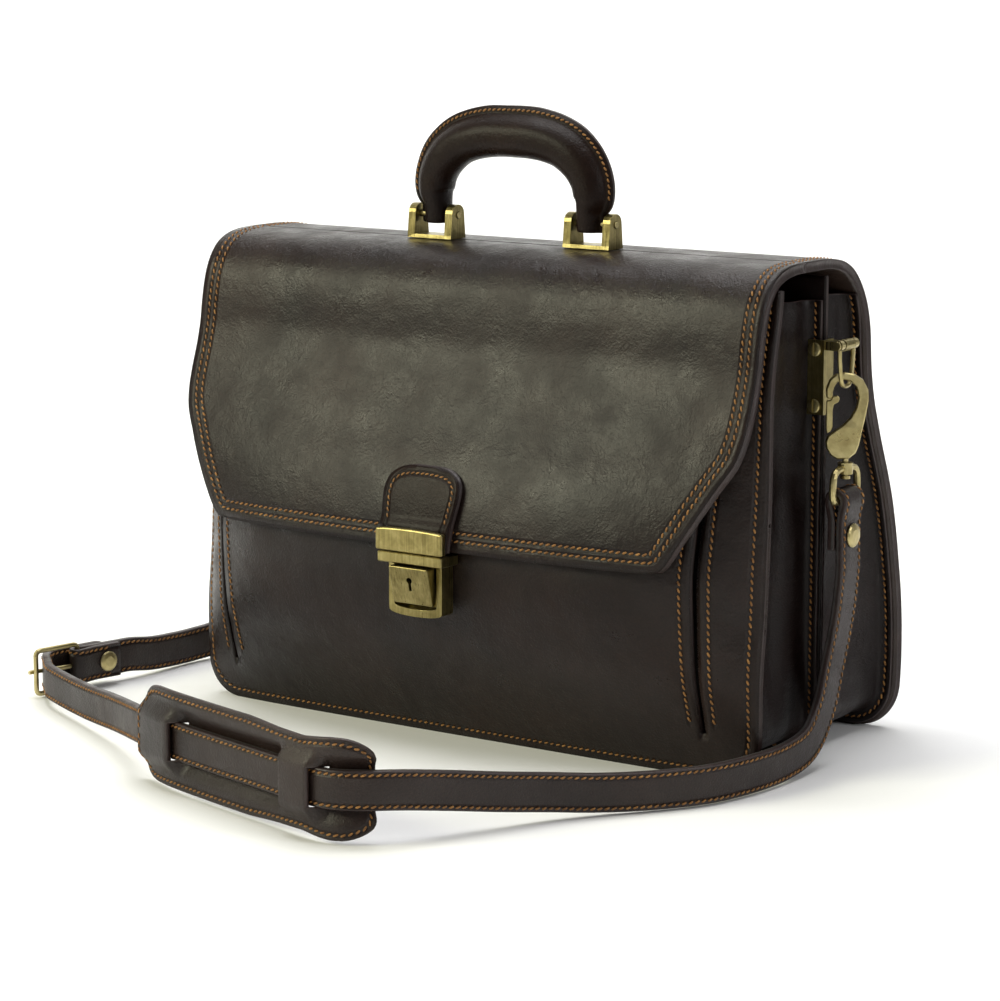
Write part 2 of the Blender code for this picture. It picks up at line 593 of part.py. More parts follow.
for side, side_name in ((-1.0, "left"), (1.0, "right")):
    x = side * BRACKET_X
    hole = finish("grip_hole_" + side_name,
                  rod(bmesh.new(), (x - 20.0, HANDLE_Y, PIN_Z), (x + 20.0, HANDLE_Y, PIN_Z), 2.37, 12), None)
    boolean(handle_grip, hole, "DIFFERENCE")
    low = 291.3
    bracket_side = [(-7.8, low), (7.8, low), (7.4, low + 2.2), (6.2, PIN_Z + 1.0)]
    for k in range(1, 8):
        a = math.pi * k / 8.0
        bracket_side.append((6.2 * math.cos(a), PIN_Z + 1.0 + 5.4 * math.sin(a)))
    bracket_side += [(-6.2, PIN_Z + 1.0), (-7.4, low + 2.2)]
    bracket = finish("handle_bracket_" + side_name,
                     prism(bmesh.new(), bracket_side, x - 16.2, x + 16.2,
                           lambda u, v, d: Vector((d, HANDLE_Y + u, v))), BRASS, smooth=True)
    gap_bm = box(bmesh.new(), (x - 11.0, HANDLE_Y - 12.0, low + 2.2), (x + 11.0, HANDLE_Y + 12.0, 330.0))
    gap_cut = finish("bracket_gap_" + side_name, gap_bm, None)
    bore_cut = finish("bracket_bore_" + side_name,
                      rod(bmesh.new(), (x - 20.0, HANDLE_Y, PIN_Z), (x + 20.0, HANDLE_Y, PIN_Z),
                          PIN_RADIUS + 0.3, 14), None)
    boolean(bracket, gap_cut, "DIFFERENCE")
    boolean(bracket, bore_cut, "DIFFERENCE")
    finish("handle_pin_" + side_name,
           rod(bmesh.new(), (x - 16.9, HANDLE_Y, PIN_Z), (x + 16.9, HANDLE_Y, PIN_Z), PIN_RADIUS, 14), BRASS,
           smooth=True)

# Shoulder strap's fittings, one set at each end of the case
HOOK_TURN = math.radians(35.0)
HOOK_OUTLINE = [(-11.6, 213.0), (-11.8, 218.0), (-9.8, 223.5), (-6.1, 226.6), (-1.2, 227.6), (4.3, 226.6),
                (9.2, 223.4), (12.2, 217.8), (12.5, 211.6), (11.0, 203.0), (9.2, 194.8), (7.3, 185.5),
                (5.5, 181.2), (1.8, 178.2), (-4.9, 177.8), (-8.6, 180.0), (-11.0, 183.8), (-11.6, 187.5),
                (-10.4, 191.2), (-7.3, 193.6), (-1.8, 197.4), (2.4, 201.7), (5.5, 207.3), (6.7, 213.5),
                (5.5, 219.1), (1.8, 222.8), (-1.8, 223.5), (-5.5, 222.2), (-7.3, 219.1), (-8.3, 215.4),
                (-8.6, 212.3)]
GATE_OUTLINE = [(-11.5, 196.0), (-11.4, 211.4), (-8.9, 211.6), (-8.2, 213.6), (-5.2, 214.4), (-3.9, 212.8),
                (-4.6, 210.6), (-7.2, 209.2), (-7.9, 206.0), (-7.8, 196.4), (-8.8, 193.7), (-11.0, 192.4)]


def side_set(side, name):
    """Bracket, screws, ring, hook, gate and swivel eye on one side of the case."""
    edge_low = DIVIDER_Y - DIVIDER_THICKNESS / 2.0 - GAP - GUSSET_THICKNESS
    edge_high = DIVIDER_Y + DIVIDER_THICKNESS / 2.0 + GAP + GUSSET_THICKNESS
    channel = [(side * 191.0, edge_low - GAP), (side * 191.0, edge_low - GAP - 1.5),
               (side * 202.2, edge_low - GAP - 1.5), (side * 202.2, edge_high + GAP + 1.5),
               (side * 191.0, edge_high + GAP + 1.5), (side * 191.0, edge_high + GAP),
               (side * 200.6, edge_high + GAP), (side * 200.6, edge_low - GAP)]
    bracket = finish("side_bracket_" + name,
                     prism(bmesh.new(), channel, 202.5, 245.5, lambda u, v, d: Vector((u, v, d))), BRASS)
    arm = finish("bracket_arm_" + name,
                 box(bmesh.new(), (min(side * 201.2, side * RING_PIN_X), -5.0, 239.8),
                     (max(side * 201.2, side * RING_PIN_X), 5.0, 244.9)), None)
    knuckle = finish("bracket_knuckle_" + name,
                     rod(bmesh.new(), (side * RING_PIN_X, -5.0, RING_PIN_Z), (side * RING_PIN_X, 5.0, RING_PIN_Z),
                         3.2, 16), None)
    bore = finish("knuckle_bore_" + name,
                  rod(bmesh.new(), (side * RING_PIN_X, -9.0, RING_PIN_Z), (side * RING_PIN_X, 9.0, RING_PIN_Z),
                      1.8, 12), None)
    boolean(bracket, arm, "UNION")
    boolean(bracket, knuckle, "UNION")
    boolean(bracket, bore, "DIFFERENCE")
    for label, z in (("upper", 240.0), ("lower", 207.5)):
        head_y = edge_low - GAP - 1.5 - GAP
        screw = finish("bracket_screw_%s_%s" % (label, name),
                       dome(bmesh.new(), (side * 196.4, head_y, z), (0.0, -1.0, 0.0), 4.0, 1.7, 18), BRASS,
                       smooth=True)
        slot = finish("screw_slot_%s_%s" % (label, name),
                      box(bmesh.new(), (side * 196.4 - 0.5, head_y - 3.0, z - 6.0),
                          (side * 196.4 + 0.5, head_y - 0.8, z + 6.0)), None)
        boolean(screw, slot, "DIFFERENCE")
    x = side * RING_PIN_X
    pin_bm = rod(bmesh.new(), (x, -11.4, RING_PIN_Z), (x, 11.4, RING_PIN_Z), 1.5, 12)
    pin = finish("ring_pin_" + name, pin_bm, BRASS, smooth=True)
    ends_bm = rod(bmesh.new(), (x, -11.6, RING_PIN_Z), (x, -10.4, RING_PIN_Z), 2.6, 14)
    ends = finish("pin_ends_" + name, ends_bm, None)
    boolean(pin, ends, "UNION")
    ring_path = [(x, -7.9, 241.2), (x, -7.7, 236.0), (x, -6.6, 228.0), (x, -5.2, 222.4), (x, -3.2, 220.2),
                 (x, 0.0, 219.6), (x, 3.2, 220.2), (x, 5.2, 222.4), (x, 6.6, 228.0), (x, 7.7, 236.0),
                 (x, 7.9, 241.2)]
    ring = finish("ring_" + name, tube(bmesh.new(), smooth_path(ring_path, 2), 1.3, 8, (1.0, 0.0, 0.0)), BRASS,
                  smooth=True)
    for end_name, y in (("front", -7.9), ("rear", 7.9)):
        eye = finish("ring_eye_%s_%s" % (end_name, name),
                     rod(bmesh.new(), (x, y - 1.9, RING_PIN_Z), (x, y + 1.9, RING_PIN_Z), 3.0, 14), None)
        boolean(ring, eye, "UNION")
    ring_bore = finish("ring_bore_" + name,
                       rod(bmesh.new(), (x, -14.0, RING_PIN_Z), (x, 14.0, RING_PIN_Z), 1.8, 12), None)
    boolean(ring, ring_bore, "DIFFERENCE")

    def in_hook(u, v, d):
        """A point of the hook's plane, turned about the swivel."""
        turn = HOOK_TURN
        return Vector((side * CLIP_X + side * (u * math.cos(turn) - d * math.sin(turn)),
                       CLIP_Y + u * math.sin(turn) + d * math.cos(turn), v))

    hook = finish("hook_" + name, prism(bmesh.new(), HOOK_OUTLINE, -2.2, 2.2, in_hook), BRASS, smooth=True)
    bevel(hook, 0.7)
    stem_bm = rod(bmesh.new(), (side * CLIP_X, CLIP_Y, 167.2), (side * CLIP_X, CLIP_Y, 180.0), 1.7, 12)
    stem = finish("hook_stem_" + name, stem_bm, None)
    head = finish("stem_head_" + name,
                  rod(bmesh.new(), (side * CLIP_X, CLIP_Y, 166.4), (side * CLIP_X, CLIP_Y, 168.2), 3.0, 14), None)
    boolean(hook, stem, "UNION")
    boolean(hook, head, "UNION")
    gate = finish("hook_gate_" + name, prism(bmesh.new(), GATE_OUTLINE, -1.6, 1.6, in_hook), BRASS)
    bevel(gate, 0.4)
    x = side * CLIP_X
    eye_path = [(x, 0.0, 172.6), (x, 8.0, 172.2), (x, 12.4, 170.0), (x, 14.0, 165.0), (x, 14.0, 158.0),
                (x, 12.6, 154.9), (x, 9.5, 154.0), (x, 0.0, 154.0), (x, -9.5, 154.0), (x, -12.6, 154.9),
                (x, -14.0, 158.0), (x, -14.0, 165.0), (x, -12.4, 170.0), (x, -8.0, 172.2)]
    eye = finish("swivel_eye_" + name,
                 tube(bmesh.new(), smooth_path(eye_path, 2, True), 2.1, 10, (1.0, 0.0, 0.0), True), BRASS,
                 smooth=True)
    boss = finish("eye_boss_" + name,
                  rod(bmesh.new(), (x, CLIP_Y, 169.2), (x, CLIP_Y, 175.8), 4.4, 18), None)
    bore_bm = rod(bmesh.new(), (x, CLIP_Y, 165.0), (x, CLIP_Y, 178.0), 2.1, 14)
    boss_bore = finish("boss_bore_" + name, bore_bm, None)
    boolean(eye, boss, "UNION")
    boolean(eye, boss_bore, "DIFFERENCE")


side_set(1.0, "right")
side_set(-1.0, "left")


def ribbon(name, rows, look):
    """A flat strap through rows of (point, width direction, half width, half thickness)."""
    points = [Vector(row[0]) for row in rows]
    rings = []
    for row, point, along in zip(rows, points, tangents(points)):
        normal = Vector(row[1]).cross(along).normalized()
        across = along.cross(normal).normalized()
        w = row[2]
        t = row[3]
        rings.append([point + across * w + normal * t, point - across * w + normal * t,
                      point - across * w - normal * t, point + across * w - normal * t])
    return finish(name, loft(bmesh.new(), rings), look, smooth=True)


def fold_rows(side):
    """The strap's end from its folded tip, over the swivel eye's lower bar and down beside itself."""
    x = CLIP_X
    half = STRAP_THICKNESS / 2.0
    near = half + 0.2
    rows = [(x - near, 126.0), (x - near, 134.0), (x - near, 142.0), (x - 3.6, 148.0), (x - 4.9, 153.0)]
    for k in range(1, 8):
        a = math.pi * k / 8.0
        rows.append((x - 5.0 * math.cos(a), 154.4 + 5.0 * math.sin(a)))
    rows += [(x + 4.9, 153.0), (x + 3.6, 148.0), (x + near, 142.0), (x + near, 134.0), (x + near, 124.0)]
    return [((side * px, CLIP_Y, pz), (0.0, 1.0, 0.0), STRAP_WIDTH / 2.0, half) for px, pz in rows]


def run_rows(points, steps):
    """Strap rows through points of (x, y, z, width direction x, y, z)."""
    centres = smooth_path([p[:3] for p in points], steps)
    widths = smooth_path([p[3:] for p in points], steps)
    return [(c, w.normalized(), STRAP_WIDTH / 2.0, STRAP_THICKNESS / 2.0) for c, w in zip(centres, widths)]


BUCKLE_ORIGIN = Vector((-270.0, -118.0, 15.8))
BUCKLE_ALONG = Vector((-0.2, -0.98, 0.0)).normalized()
BUCKLE_FACE = Vector((-BUCKLE_ALONG.y, BUCKLE_ALONG.x, 0.0))
BUCKLE_LENGTH = 32.0
BUCKLE_HALF = 13.7


def in_buckle(s, n, w=0.0):
    """A point of the buckle's frame: s from the hinge bar to the far bar, n across its face, w up."""
    return BUCKLE_ORIGIN + BUCKLE_ALONG * s + BUCKLE_FACE * n + Vector((0.0, 0.0, w))


ON_EDGE = (0.0, 0.0, -1.0)
LONG_RUN = [(216.7, 0.0, 112.0, 0.0, 1.0, 0.0), (214.2, -1.0, 85.0, 0.0, 1.0, -0.05),
            (211.0, -5.0, 58.0, 0.0, 1.0, -0.2), (210.5, -14.0, 34.0, 0.0, 0.85, -0.45),
            (211.5, -32.0, 17.5, 0.0, 0.5, -0.8), (211.5, -58.0, 12.4, 0.0, 0.1, -0.97),
            (209.0, -90.0, 11.6, *ON_EDGE), (200.0, -124.0, 11.5, *ON_EDGE), (182.0, -153.0, 11.6, *ON_EDGE),
            (163.0, -177.0, 12.6, *ON_EDGE), (147.0, -200.0, 15.5, *ON_EDGE), (133.0, -227.0, 19.5, *ON_EDGE),
            (119.0, -256.0, 24.5, *ON_EDGE), (107.0, -279.0, 28.0, *ON_EDGE), (95.0, -295.0, 29.4, *ON_EDGE),
            (79.0, -304.0, 29.6, *ON_EDGE), (60.0, -303.0, 29.6, *ON_EDGE), (20.0, -292.5, 29.6, *ON_EDGE),
            (-20.0, -282.0, 29.6, *ON_EDGE), (-60.0, -270.0, 29.4, *ON_EDGE), (-91.0, -255.0, 28.0, *ON_EDGE),
            (-148.0, -217.0, 21.0, *ON_EDGE), (-200.0, -189.0, 16.6, *ON_EDGE)]
STRAP_IN_BUCKLE = [(41.0, 30.0), (34.5, 16.5), (28.5, 7.0), (24.6, 0.5), (20.0, -4.8), (12.5, -8.0), (2.0, -8.8),
                   (-10.0, -8.7), (-20.0, -8.7), (-32.0, -8.7)]
LONG_RUN += [(*in_buckle(s, n), *ON_EDGE) for s, n in STRAP_IN_BUCKLE]
SHORT_RUN = [(-216.7, 0.0, 112.0, 0.0, 1.0, 0.0), (-218.0, 2.0, 88.0, 0.0, 1.0, 0.0),
             (-221.0, 8.0, 62.0, 0.0, 1.0, -0.1), (-230.0, 17.0, 40.0, 0.0, 1.0, -0.5),
             (-246.0, 18.0, 22.0, 0.0, 0.6, -0.8), (-257.0, 4.0, 14.0, *ON_EDGE), (-261.5, -14.0, 11.9, *ON_EDGE),
             (-262.3, -34.0, 12.0, *ON_EDGE), (-262.8, -56.0, 13.2, *ON_EDGE)]

long_rows = fold_rows(1.0) + run_rows(LONG_RUN, 3)
for back, share in ((0, 0.25), (1, 0.6), (2, 0.85)):
    point, width, half, thick = long_rows[-1 - back]
    long_rows[-1 - back] = (point, width, half * share, thick)
strap_long = ribbon("strap_long", long_rows, STRAP_LEATHER)
SHORT_RUN.append((*in_buckle(-44.0, -2.6), *ON_EDGE))
SHORT_RUN.append((*in_buckle(-34.0, -3.1), *ON_EDGE))
short_rows = fold_rows(-1.0) + run_rows(SHORT_RUN, 3)
for s, n, thick in ((-24.0, -3.25, 2.5), (-14.0, -3.25, 2.5), (-8.0, -3.5, 2.0), (-3.5, -3.75, 1.5)):
    short_rows.append((in_buckle(s, n), ON_EDGE, STRAP_WIDTH / 2.0, thick))
for k in range(0, 9):
    a = math.pi * k / 8.0
    short_rows.append((in_buckle(3.8 * math.sin(a), -3.8 * math.cos(a)), ON_EDGE, STRAP_WIDTH / 2.0, 1.5))
for s, n, thick in ((-3.5, 3.75, 1.5), (-8.0, 2.6, 1.7), (-14.0, 1.65, 2.0), (-24.0, 1.65, 2.0),
                    (-31.0, 1.65, 2.0)):
    short_rows.append((in_buckle(s, n), ON_EDGE, STRAP_WIDTH / 2.0, thick))
strap_short = ribbon("strap_short", short_rows, STRAP_LEATHER)


def buckle_box(name, low, high):
    """A cutter box in the buckle's frame."""
    bm = bmesh.new()
    corners = [(s, n, w) for s in (low[0], high[0]) for n in (low[1], high[1]) for w in (low[2], high[2])]
    rings = [[in_buckle(*corners[k]) for k in order] for order in ((0, 1, 3, 2), (4, 5, 7, 6))]
    return finish(name, loft(bm, rings), None)


boolean(strap_long, buckle_box("prong_hole", (7.0, -13.0, -2.4), (31.0, 6.0, 2.4)), "DIFFERENCE")
boolean(strap_short, buckle_box("fold_slot", (-7.0, -7.0, -3.0), (8.0, 7.5, 3.0)), "DIFFERENCE")

# Buckle frame and prong
corner = 3.0
frame_loop = []
for s, w, start in ((0.0, BUCKLE_HALF, 180.0), (BUCKLE_LENGTH, BUCKLE_HALF, 90.0),
                    (BUCKLE_LENGTH, -BUCKLE_HALF, 0.0), (0.0, -BUCKLE_HALF, 270.0)):
    centre_s = s + (corner if s == 0.0 else -corner)
    centre_w = w + (corner if w < 0.0 else -corner)
    for k in range(4):
        a = math.radians(start - 30.0 * k)
        frame_loop.append(in_buckle(centre_s + corner * math.cos(a), 0.0, centre_w + corner * math.sin(a)))
frame_bm = tube(bmesh.new(), frame_loop, BUCKLE_BAR_RADIUS, 10, BUCKLE_FACE, True)
finish("buckle_frame", frame_bm, BRASS, smooth=True)
prong_path = [in_buckle(2.4, -0.4), in_buckle(9.0, -0.9), in_buckle(16.0, -1.4), in_buckle(24.0, -2.4),
              in_buckle(30.0, -3.5), in_buckle(35.0, -3.3)]
prong = finish("buckle_prong", tube(bmesh.new(), prong_path, 1.4, 8, (0.0, 0.0, 1.0)), BRASS, smooth=True)
eye_bm = rod(bmesh.new(), in_buckle(0.0, 0.0, -2.0), in_buckle(0.0, 0.0, 2.0), 3.5, 16)
prong_eye = finish("prong_eye", eye_bm, None)
bore_bm = rod(bmesh.new(), in_buckle(0.0, 0.0, -4.0), in_buckle(0.0, 0.0, 4.0), 1.95, 14)
prong_bore = finish("prong_bore", bore_bm, None)
boolean(prong, prong_eye, "UNION")
boolean(prong, prong_bore, "DIFFERENCE")

# Cap rivets through the folded ends
for side, name in ((1.0, "right"), (-1.0, "left")):
    rivet_centre = (side * (CLIP_X + STRAP_THICKNESS + 0.6), CLIP_Y, 134.0)
    rivet_bm = dome(bmesh.new(), rivet_centre, (side, 0.0, 0.0), 7.0, 2.2, 20)
    finish("strap_rivet_" + name, rivet_bm, BRASS, smooth=True)
rivet_bm = dome(bmesh.new(), in_buckle(-21.0, 4.0), BUCKLE_FACE, 6.5, 2.2, 20)
finish("strap_rivet_buckle", rivet_bm, BRASS, smooth=True)

# Shoulder pad, threaded on the long strap through three slots
PAD_HALF_THICKNESS = 1.6
PAD_STEP_OUT = STRAP_THICKNESS / 2.0 + 0.8 + PAD_HALF_THICKNESS
PAD_START = -92.0
PAD_STATIONS = [0.0, 2.0, 6.0, 13.0, 24.0, 38.0, 46.0, 62.0, 80.0, 98.0, 118.0, 136.0, 145.0, 151.0, 158.0, 166.0,
                175.0, 181.0, 188.0, 194.0, 199.0, 203.0]
PAD_SIGNS = [1] * 6 + [-1] * 6 + [1] * 4 + [-1] * 6
PAD_HALVES = [20.5, 23.5, 26.0, 27.5, 28.0, 28.0, 28.0, 28.0, 28.0, 28.0, 27.5, 27.0, 26.5, 26.5, 26.5, 27.0,
              28.0, 28.5, 28.0, 26.5, 24.0, 20.5]
PAD_ACROSS = [-1.0, -0.75, -0.52, -0.24, 0.0, 0.24, 0.52, 0.75, 1.0]
PAD_RISE = [0.0, 0.0, 1.0, 1.0, 1.0, 1.0, 1.0, 0.0, 0.0]
path = smooth_path([p[:3] for p in LONG_RUN[:23]], 12)[::-1]
lengths = [0.0]
for a, b in zip(path, path[1:]):
    lengths.append(lengths[-1] + (b - a).length)
first = min(range(len(path)), key=lambda k: abs(path[k].x - PAD_START) + abs(path[k].y + 252.0) * 0.2)
pad_outer = []
pad_inner = []
for station, sign, half_width in zip(PAD_STATIONS, PAD_SIGNS, PAD_HALVES):
    want = lengths[first] + station
    k = min(max(bisect.bisect_right(lengths, want) - 1, 0), len(path) - 2)
    share = (want - lengths[k]) / (lengths[k + 1] - lengths[k])
    point = path[k].lerp(path[k + 1], share)
    along = (path[k + 1] - path[k]).normalized()
    facing = Vector((along.y, -along.x, 0.0)).normalized()
    point.z = 29.4
    outer_row = []
    inner_row = []
    for across, rise in zip(PAD_ACROSS, PAD_RISE):
        offset = across * 28.0 if abs(across) < 0.7 else math.copysign(half_width, across) * abs(across)
        place = point + Vector((0.0, 0.0, offset)) + facing * (sign * rise * PAD_STEP_OUT)
        outer_row.append(place + facing * PAD_HALF_THICKNESS)
        inner_row.append(place - facing * PAD_HALF_THICKNESS)
    pad_outer.append(outer_row)
    pad_inner.append(inner_row)
slab("shoulder_pad", pad_outer, pad_inner, STRAP_LEATHER,
     lambda i, j: PAD_SIGNS[i] != PAD_SIGNS[i + 1] and j in (2, 3, 4, 5))
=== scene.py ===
"""Looks of a leather briefcase with a flap, a press lock, a carrying handle and a clip-on shoulder strap.

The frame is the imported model's: origin on the ground under the case, -Y the flap's side, +Z up. Lengths in
the tables are in millimetres, and MM turns them to metres.
"""

import bisect
import math
import random

import bmesh
import bpy
import numpy as np
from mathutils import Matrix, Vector, noise


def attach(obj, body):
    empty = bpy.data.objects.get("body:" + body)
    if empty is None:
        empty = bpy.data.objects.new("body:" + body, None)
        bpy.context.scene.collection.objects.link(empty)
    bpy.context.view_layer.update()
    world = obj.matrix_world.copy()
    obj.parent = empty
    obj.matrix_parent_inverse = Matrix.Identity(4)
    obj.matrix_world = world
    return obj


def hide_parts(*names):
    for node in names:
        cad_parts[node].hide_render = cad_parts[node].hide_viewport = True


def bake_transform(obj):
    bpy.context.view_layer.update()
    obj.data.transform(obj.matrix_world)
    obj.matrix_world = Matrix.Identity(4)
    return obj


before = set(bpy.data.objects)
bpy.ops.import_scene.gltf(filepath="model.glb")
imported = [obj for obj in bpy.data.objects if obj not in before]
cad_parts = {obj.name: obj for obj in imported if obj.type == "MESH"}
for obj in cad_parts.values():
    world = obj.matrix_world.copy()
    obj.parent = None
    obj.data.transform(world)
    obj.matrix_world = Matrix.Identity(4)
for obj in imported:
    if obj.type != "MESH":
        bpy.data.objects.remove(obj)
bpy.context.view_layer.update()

MM = 0.001
RNG = random.Random(11)

# Case
HALF_WIDTH = 200.0
CORNER_RADIUS = 25.0
SHELL_THICKNESS = 5.6
FRONT_THICKNESS = 3.0
POCKET_WALL_THICKNESS = 1.6
GUSSET_THICKNESS = 2.2
DIVIDER_THICKNESS = 2.4
DIVIDER_Y = -0.4
GAP = 0.3
PANEL_TOP = 277.0
DIVIDER_TOP = 281.0
SLIT_INNER = 168.0
SLIT_OUTER = 172.5
SLIT_BOTTOM = 26.0
POCKET_TOP = 256.0
TOP_SPLIT_Y = -24.0

FLAP_PROFILE = [(-111.0, 123.0), (-108.5, 140.0), (-104.0, 157.0), (-98.5, 172.0), (-93.0, 185.0),
                (-88.5, 197.0), (-84.0, 209.0), (-79.5, 222.0), (-76.0, 235.0), (-74.0, 248.0),
                (-72.0, 258.0), (-69.0, 268.0), (-64.0, 277.0), (-57.0, 284.0)]
TOP_PROFILE = [(-57.0, 284.0), (-47.0, 288.5), (-35.0, 290.5), (-22.0, 291.0), (-10.0, 291.0), (2.0, 291.0),
               (12.0, 290.0), (22.0, 287.6), (31.5, 282.8), (39.0, 276.0)]
BACK_PROFILE = [(39.0, 276.0), (44.5, 268.0), (48.0, 259.0), (50.0, 248.0), (51.0, 235.0), (52.5, 221.0),
                (56.0, 205.0), (61.0, 191.0), (67.0, 176.0), (74.5, 159.0), (81.0, 142.0), (86.5, 122.0),
                (90.5, 103.0), (94.0, 84.0), (96.0, 65.0), (96.5, 45.0), (95.5, 28.0), (94.3, 20.0),
                (93.2, 13.0), (92.2, 7.0), (91.5, 3.0), (91.0, 0.0)]
FLAP_OUTLINE = [(123.0, 150.0), (124.5, 157.5), (130.0, 162.5), (140.0, 168.5), (157.0, 178.5),
                (172.0, 187.0), (185.0, 194.5), (197.0, 197.5), (209.0, 198.5), (300.0, 198.5)]
FLAP_BULGE = [(123.0, 10.0), (160.0, 8.0), (200.0, 4.0), (235.0, 0.0), (300.0, 0.0)]
FRONT_EDGE = [(0.0, -69.0), (26.0, -71.0), (60.0, -71.0), (94.0, -67.0), (128.0, -65.0), (162.0, -63.5),
              (190.0, -63.5), (218.0, -63.5), (240.0, -60.5), (262.0, -55.0), (282.0, -53.0)]
FRONT_BULGE = [(0.0, 5.0), (26.0, 16.0), (60.0, 31.0), (95.0, 43.0), (120.0, 47.0), (160.0, 36.0),
               (200.0, 16.0), (240.0, 6.3), (262.0, 5.6), (282.0, 0.0)]
POCKET_SHARE = [(0.0, 0.62), (150.0, 0.62), (220.0, 0.15), (300.0, 0.15)]


def between(table, key):
    """Linear value at key of a table of (key, value) pairs."""
    keys = [row[0] for row in table]
    if key <= keys[0]:
        return table[0][1]
    if key >= keys[-1]:
        return table[-1][1]
    i = bisect.bisect_right(keys, key) - 1
    share = (key - keys[i]) / (keys[i + 1] - keys[i])
    return table[i][1] * (1.0 - share) + table[i + 1][1] * share


def smoothed(table, reach=9.0):
    """The table's linear values averaged over a short reach on each side, as rows a millimetre apart."""
    keys = np.arange(table[0][0], table[-1][0] + 0.5, 1.0)
    values = []
    for key in keys:
        room = min(reach, key - table[0][0], table[-1][0] - key)
        values.append(sum(between(table, key + room * step / 4.0) for step in range(-4, 5)) / 9.0)
    return keys, np.array(values)


EDGE_KEYS, EDGE_VALUES = smoothed(FRONT_EDGE)
BULGE_KEYS, BULGE_VALUES = smoothed(FRONT_BULGE)
FLAP_KEYS, FLAP_VALUES = smoothed(FLAP_BULGE)


def ease(value):
    """0 below 0, 1 above 1 and smooth between."""
    value = min(max(value, 0.0), 1.0)
    return value * value * (3.0 - 2.0 * value)


def spline(points, spacing=None, count=None, closed=False):
    """Even points along a smooth curve through rows of numbers. The first three columns set the length."""
    rows = np.array(points, float)
    if closed:
        around = np.vstack([rows[-1:], rows, rows[:2]])
    else:
        around = np.vstack([2.0 * rows[0] - rows[1], rows, 2.0 * rows[-1] - rows[-2]])
    t = np.linspace(0.0, 1.0, 24, endpoint=False)[:, None]
    dense = []
    for i in range(1, len(around) - 2):
        p0, p1, p2, p3 = around[i - 1:i + 3]
        dense.append(0.5 * (2.0 * p1 + (p2 - p0) * t + (2.0 * p0 - 5.0 * p1 + 4.0 * p2 - p3) * t ** 2
                            + (3.0 * p1 - p0 - 3.0 * p2 + p3) * t ** 3))
    dense.append(around[-2:-1])
    dense = np.vstack(dense)
    steps = np.linalg.norm(np.diff(dense[:, :3], axis=0), axis=1)
    lengths = np.concatenate([[0.0], np.cumsum(steps)])
    if count is None:
        count = max(int(round(lengths[-1] / spacing)), 2) + 1
    at = np.linspace(0.0, lengths[-1], count)
    even = np.column_stack([np.interp(at, lengths, dense[:, k]) for k in range(dense.shape[1])])
    return even[:-1] if closed else even


def unit(rows):
    """Each row divided by its length."""
    return rows / np.maximum(np.linalg.norm(rows, axis=-1, keepdims=True), 1e-12)


def directions(points):
    """The unit direction of a path at each of its points."""
    ahead = np.vstack([points[1:], points[-1:]])
    behind = np.vstack([points[:1], points[:-1]])
    return unit(ahead - behind)


def corner_half_width(z):
    """Half the width of a panel at this height, with its lower corners rounded."""
    if z >= CORNER_RADIUS:
        return HALF_WIDTH
    drop = CORNER_RADIUS - z
    return HALF_WIDTH - CORNER_RADIUS + math.sqrt(max(CORNER_RADIUS ** 2 - drop ** 2, 0.0))


def front_y(x, z):
    """The front panel's outer surface."""
    middle = 1.0 - min(abs(x) / HALF_WIDTH, 1.0) ** 5.5
    return float(np.interp(z, EDGE_KEYS, EDGE_VALUES) - np.interp(z, BULGE_KEYS, BULGE_VALUES) * middle)


def pocket_y(x, z):
    """The wall behind the front pocket."""
    outward = float(np.interp(z, EDGE_KEYS, EDGE_VALUES)) + FRONT_THICKNESS + GAP
    share = ease((184.0 - abs(x)) / 36.0)
    rise = min(max((z - 20.0) / 22.0, 0.0), 1.0)
    return outward - float(np.interp(z, BULGE_KEYS, BULGE_VALUES)) * between(POCKET_SHARE, z) * rise * share


# Materials

def node(tree, kind, **inputs):
    """A new shader node with some of its inputs set or linked."""
    made = tree.nodes.new(kind)
    for key, value in inputs.items():
        socket = made.inputs[int(key[1:]) if key[0] == "_" else key.replace("_", " ")]
        if isinstance(value, bpy.types.NodeSocket):
            tree.links.new(value, socket)
        else:
            socket.default_value = value
    return made


def ramp(tree, value, stops):
    """A colour ramp over value, with stops of (position, colour)."""
    made = tree.nodes.new("ShaderNodeValToRGB")
    tree.links.new(value, made.inputs["Fac"])
    elements = made.color_ramp.elements
    while len(elements) < len(stops):
        elements.new(0.5)
    for element, (position, colour) in zip(elements, stops):
        element.position = position
        element.color = (*colour, 1.0)
    return made.outputs["Color"]


def spread(tree, value, low, high, to_low, to_high):
    """value mapped from low..high to to_low..to_high."""
    made = node(tree, "ShaderNodeMapRange", Value=value)
    for name, number in (("From Min", low), ("From Max", high), ("To Min", to_low), ("To Max", to_high)):
        made.inputs[name].default_value = number
    return made.outputs["Result"]


def noise_of(tree, place, scale, detail=3.0, rough=0.5, distortion=0.0):
    """A noise texture's value at place."""
    made = node(tree, "ShaderNodeTexNoise", Vector=place, Scale=scale, Detail=detail, Roughness=rough,
                Distortion=distortion)
    return made.outputs["Fac"]


def bump(tree, height, distance, normal=None, strength=1.0):
    """A bump of this height in metres, on top of an earlier one."""
    made = node(tree, "ShaderNodeBump", Height=height, Distance=distance, Strength=strength)
    if normal is not None:
        tree.links.new(normal, made.inputs["Normal"])
    return made.outputs["Normal"]


def material(name):
    """A new Principled material: its tree, its shader and the place in the object's own frame."""
    made = bpy.data.materials.new(name)
    made.use_nodes = True
    tree = made.node_tree
    place = tree.nodes.new("ShaderNodeTexCoord").outputs["Object"]
    return made, tree, tree.nodes["Principled BSDF"], place


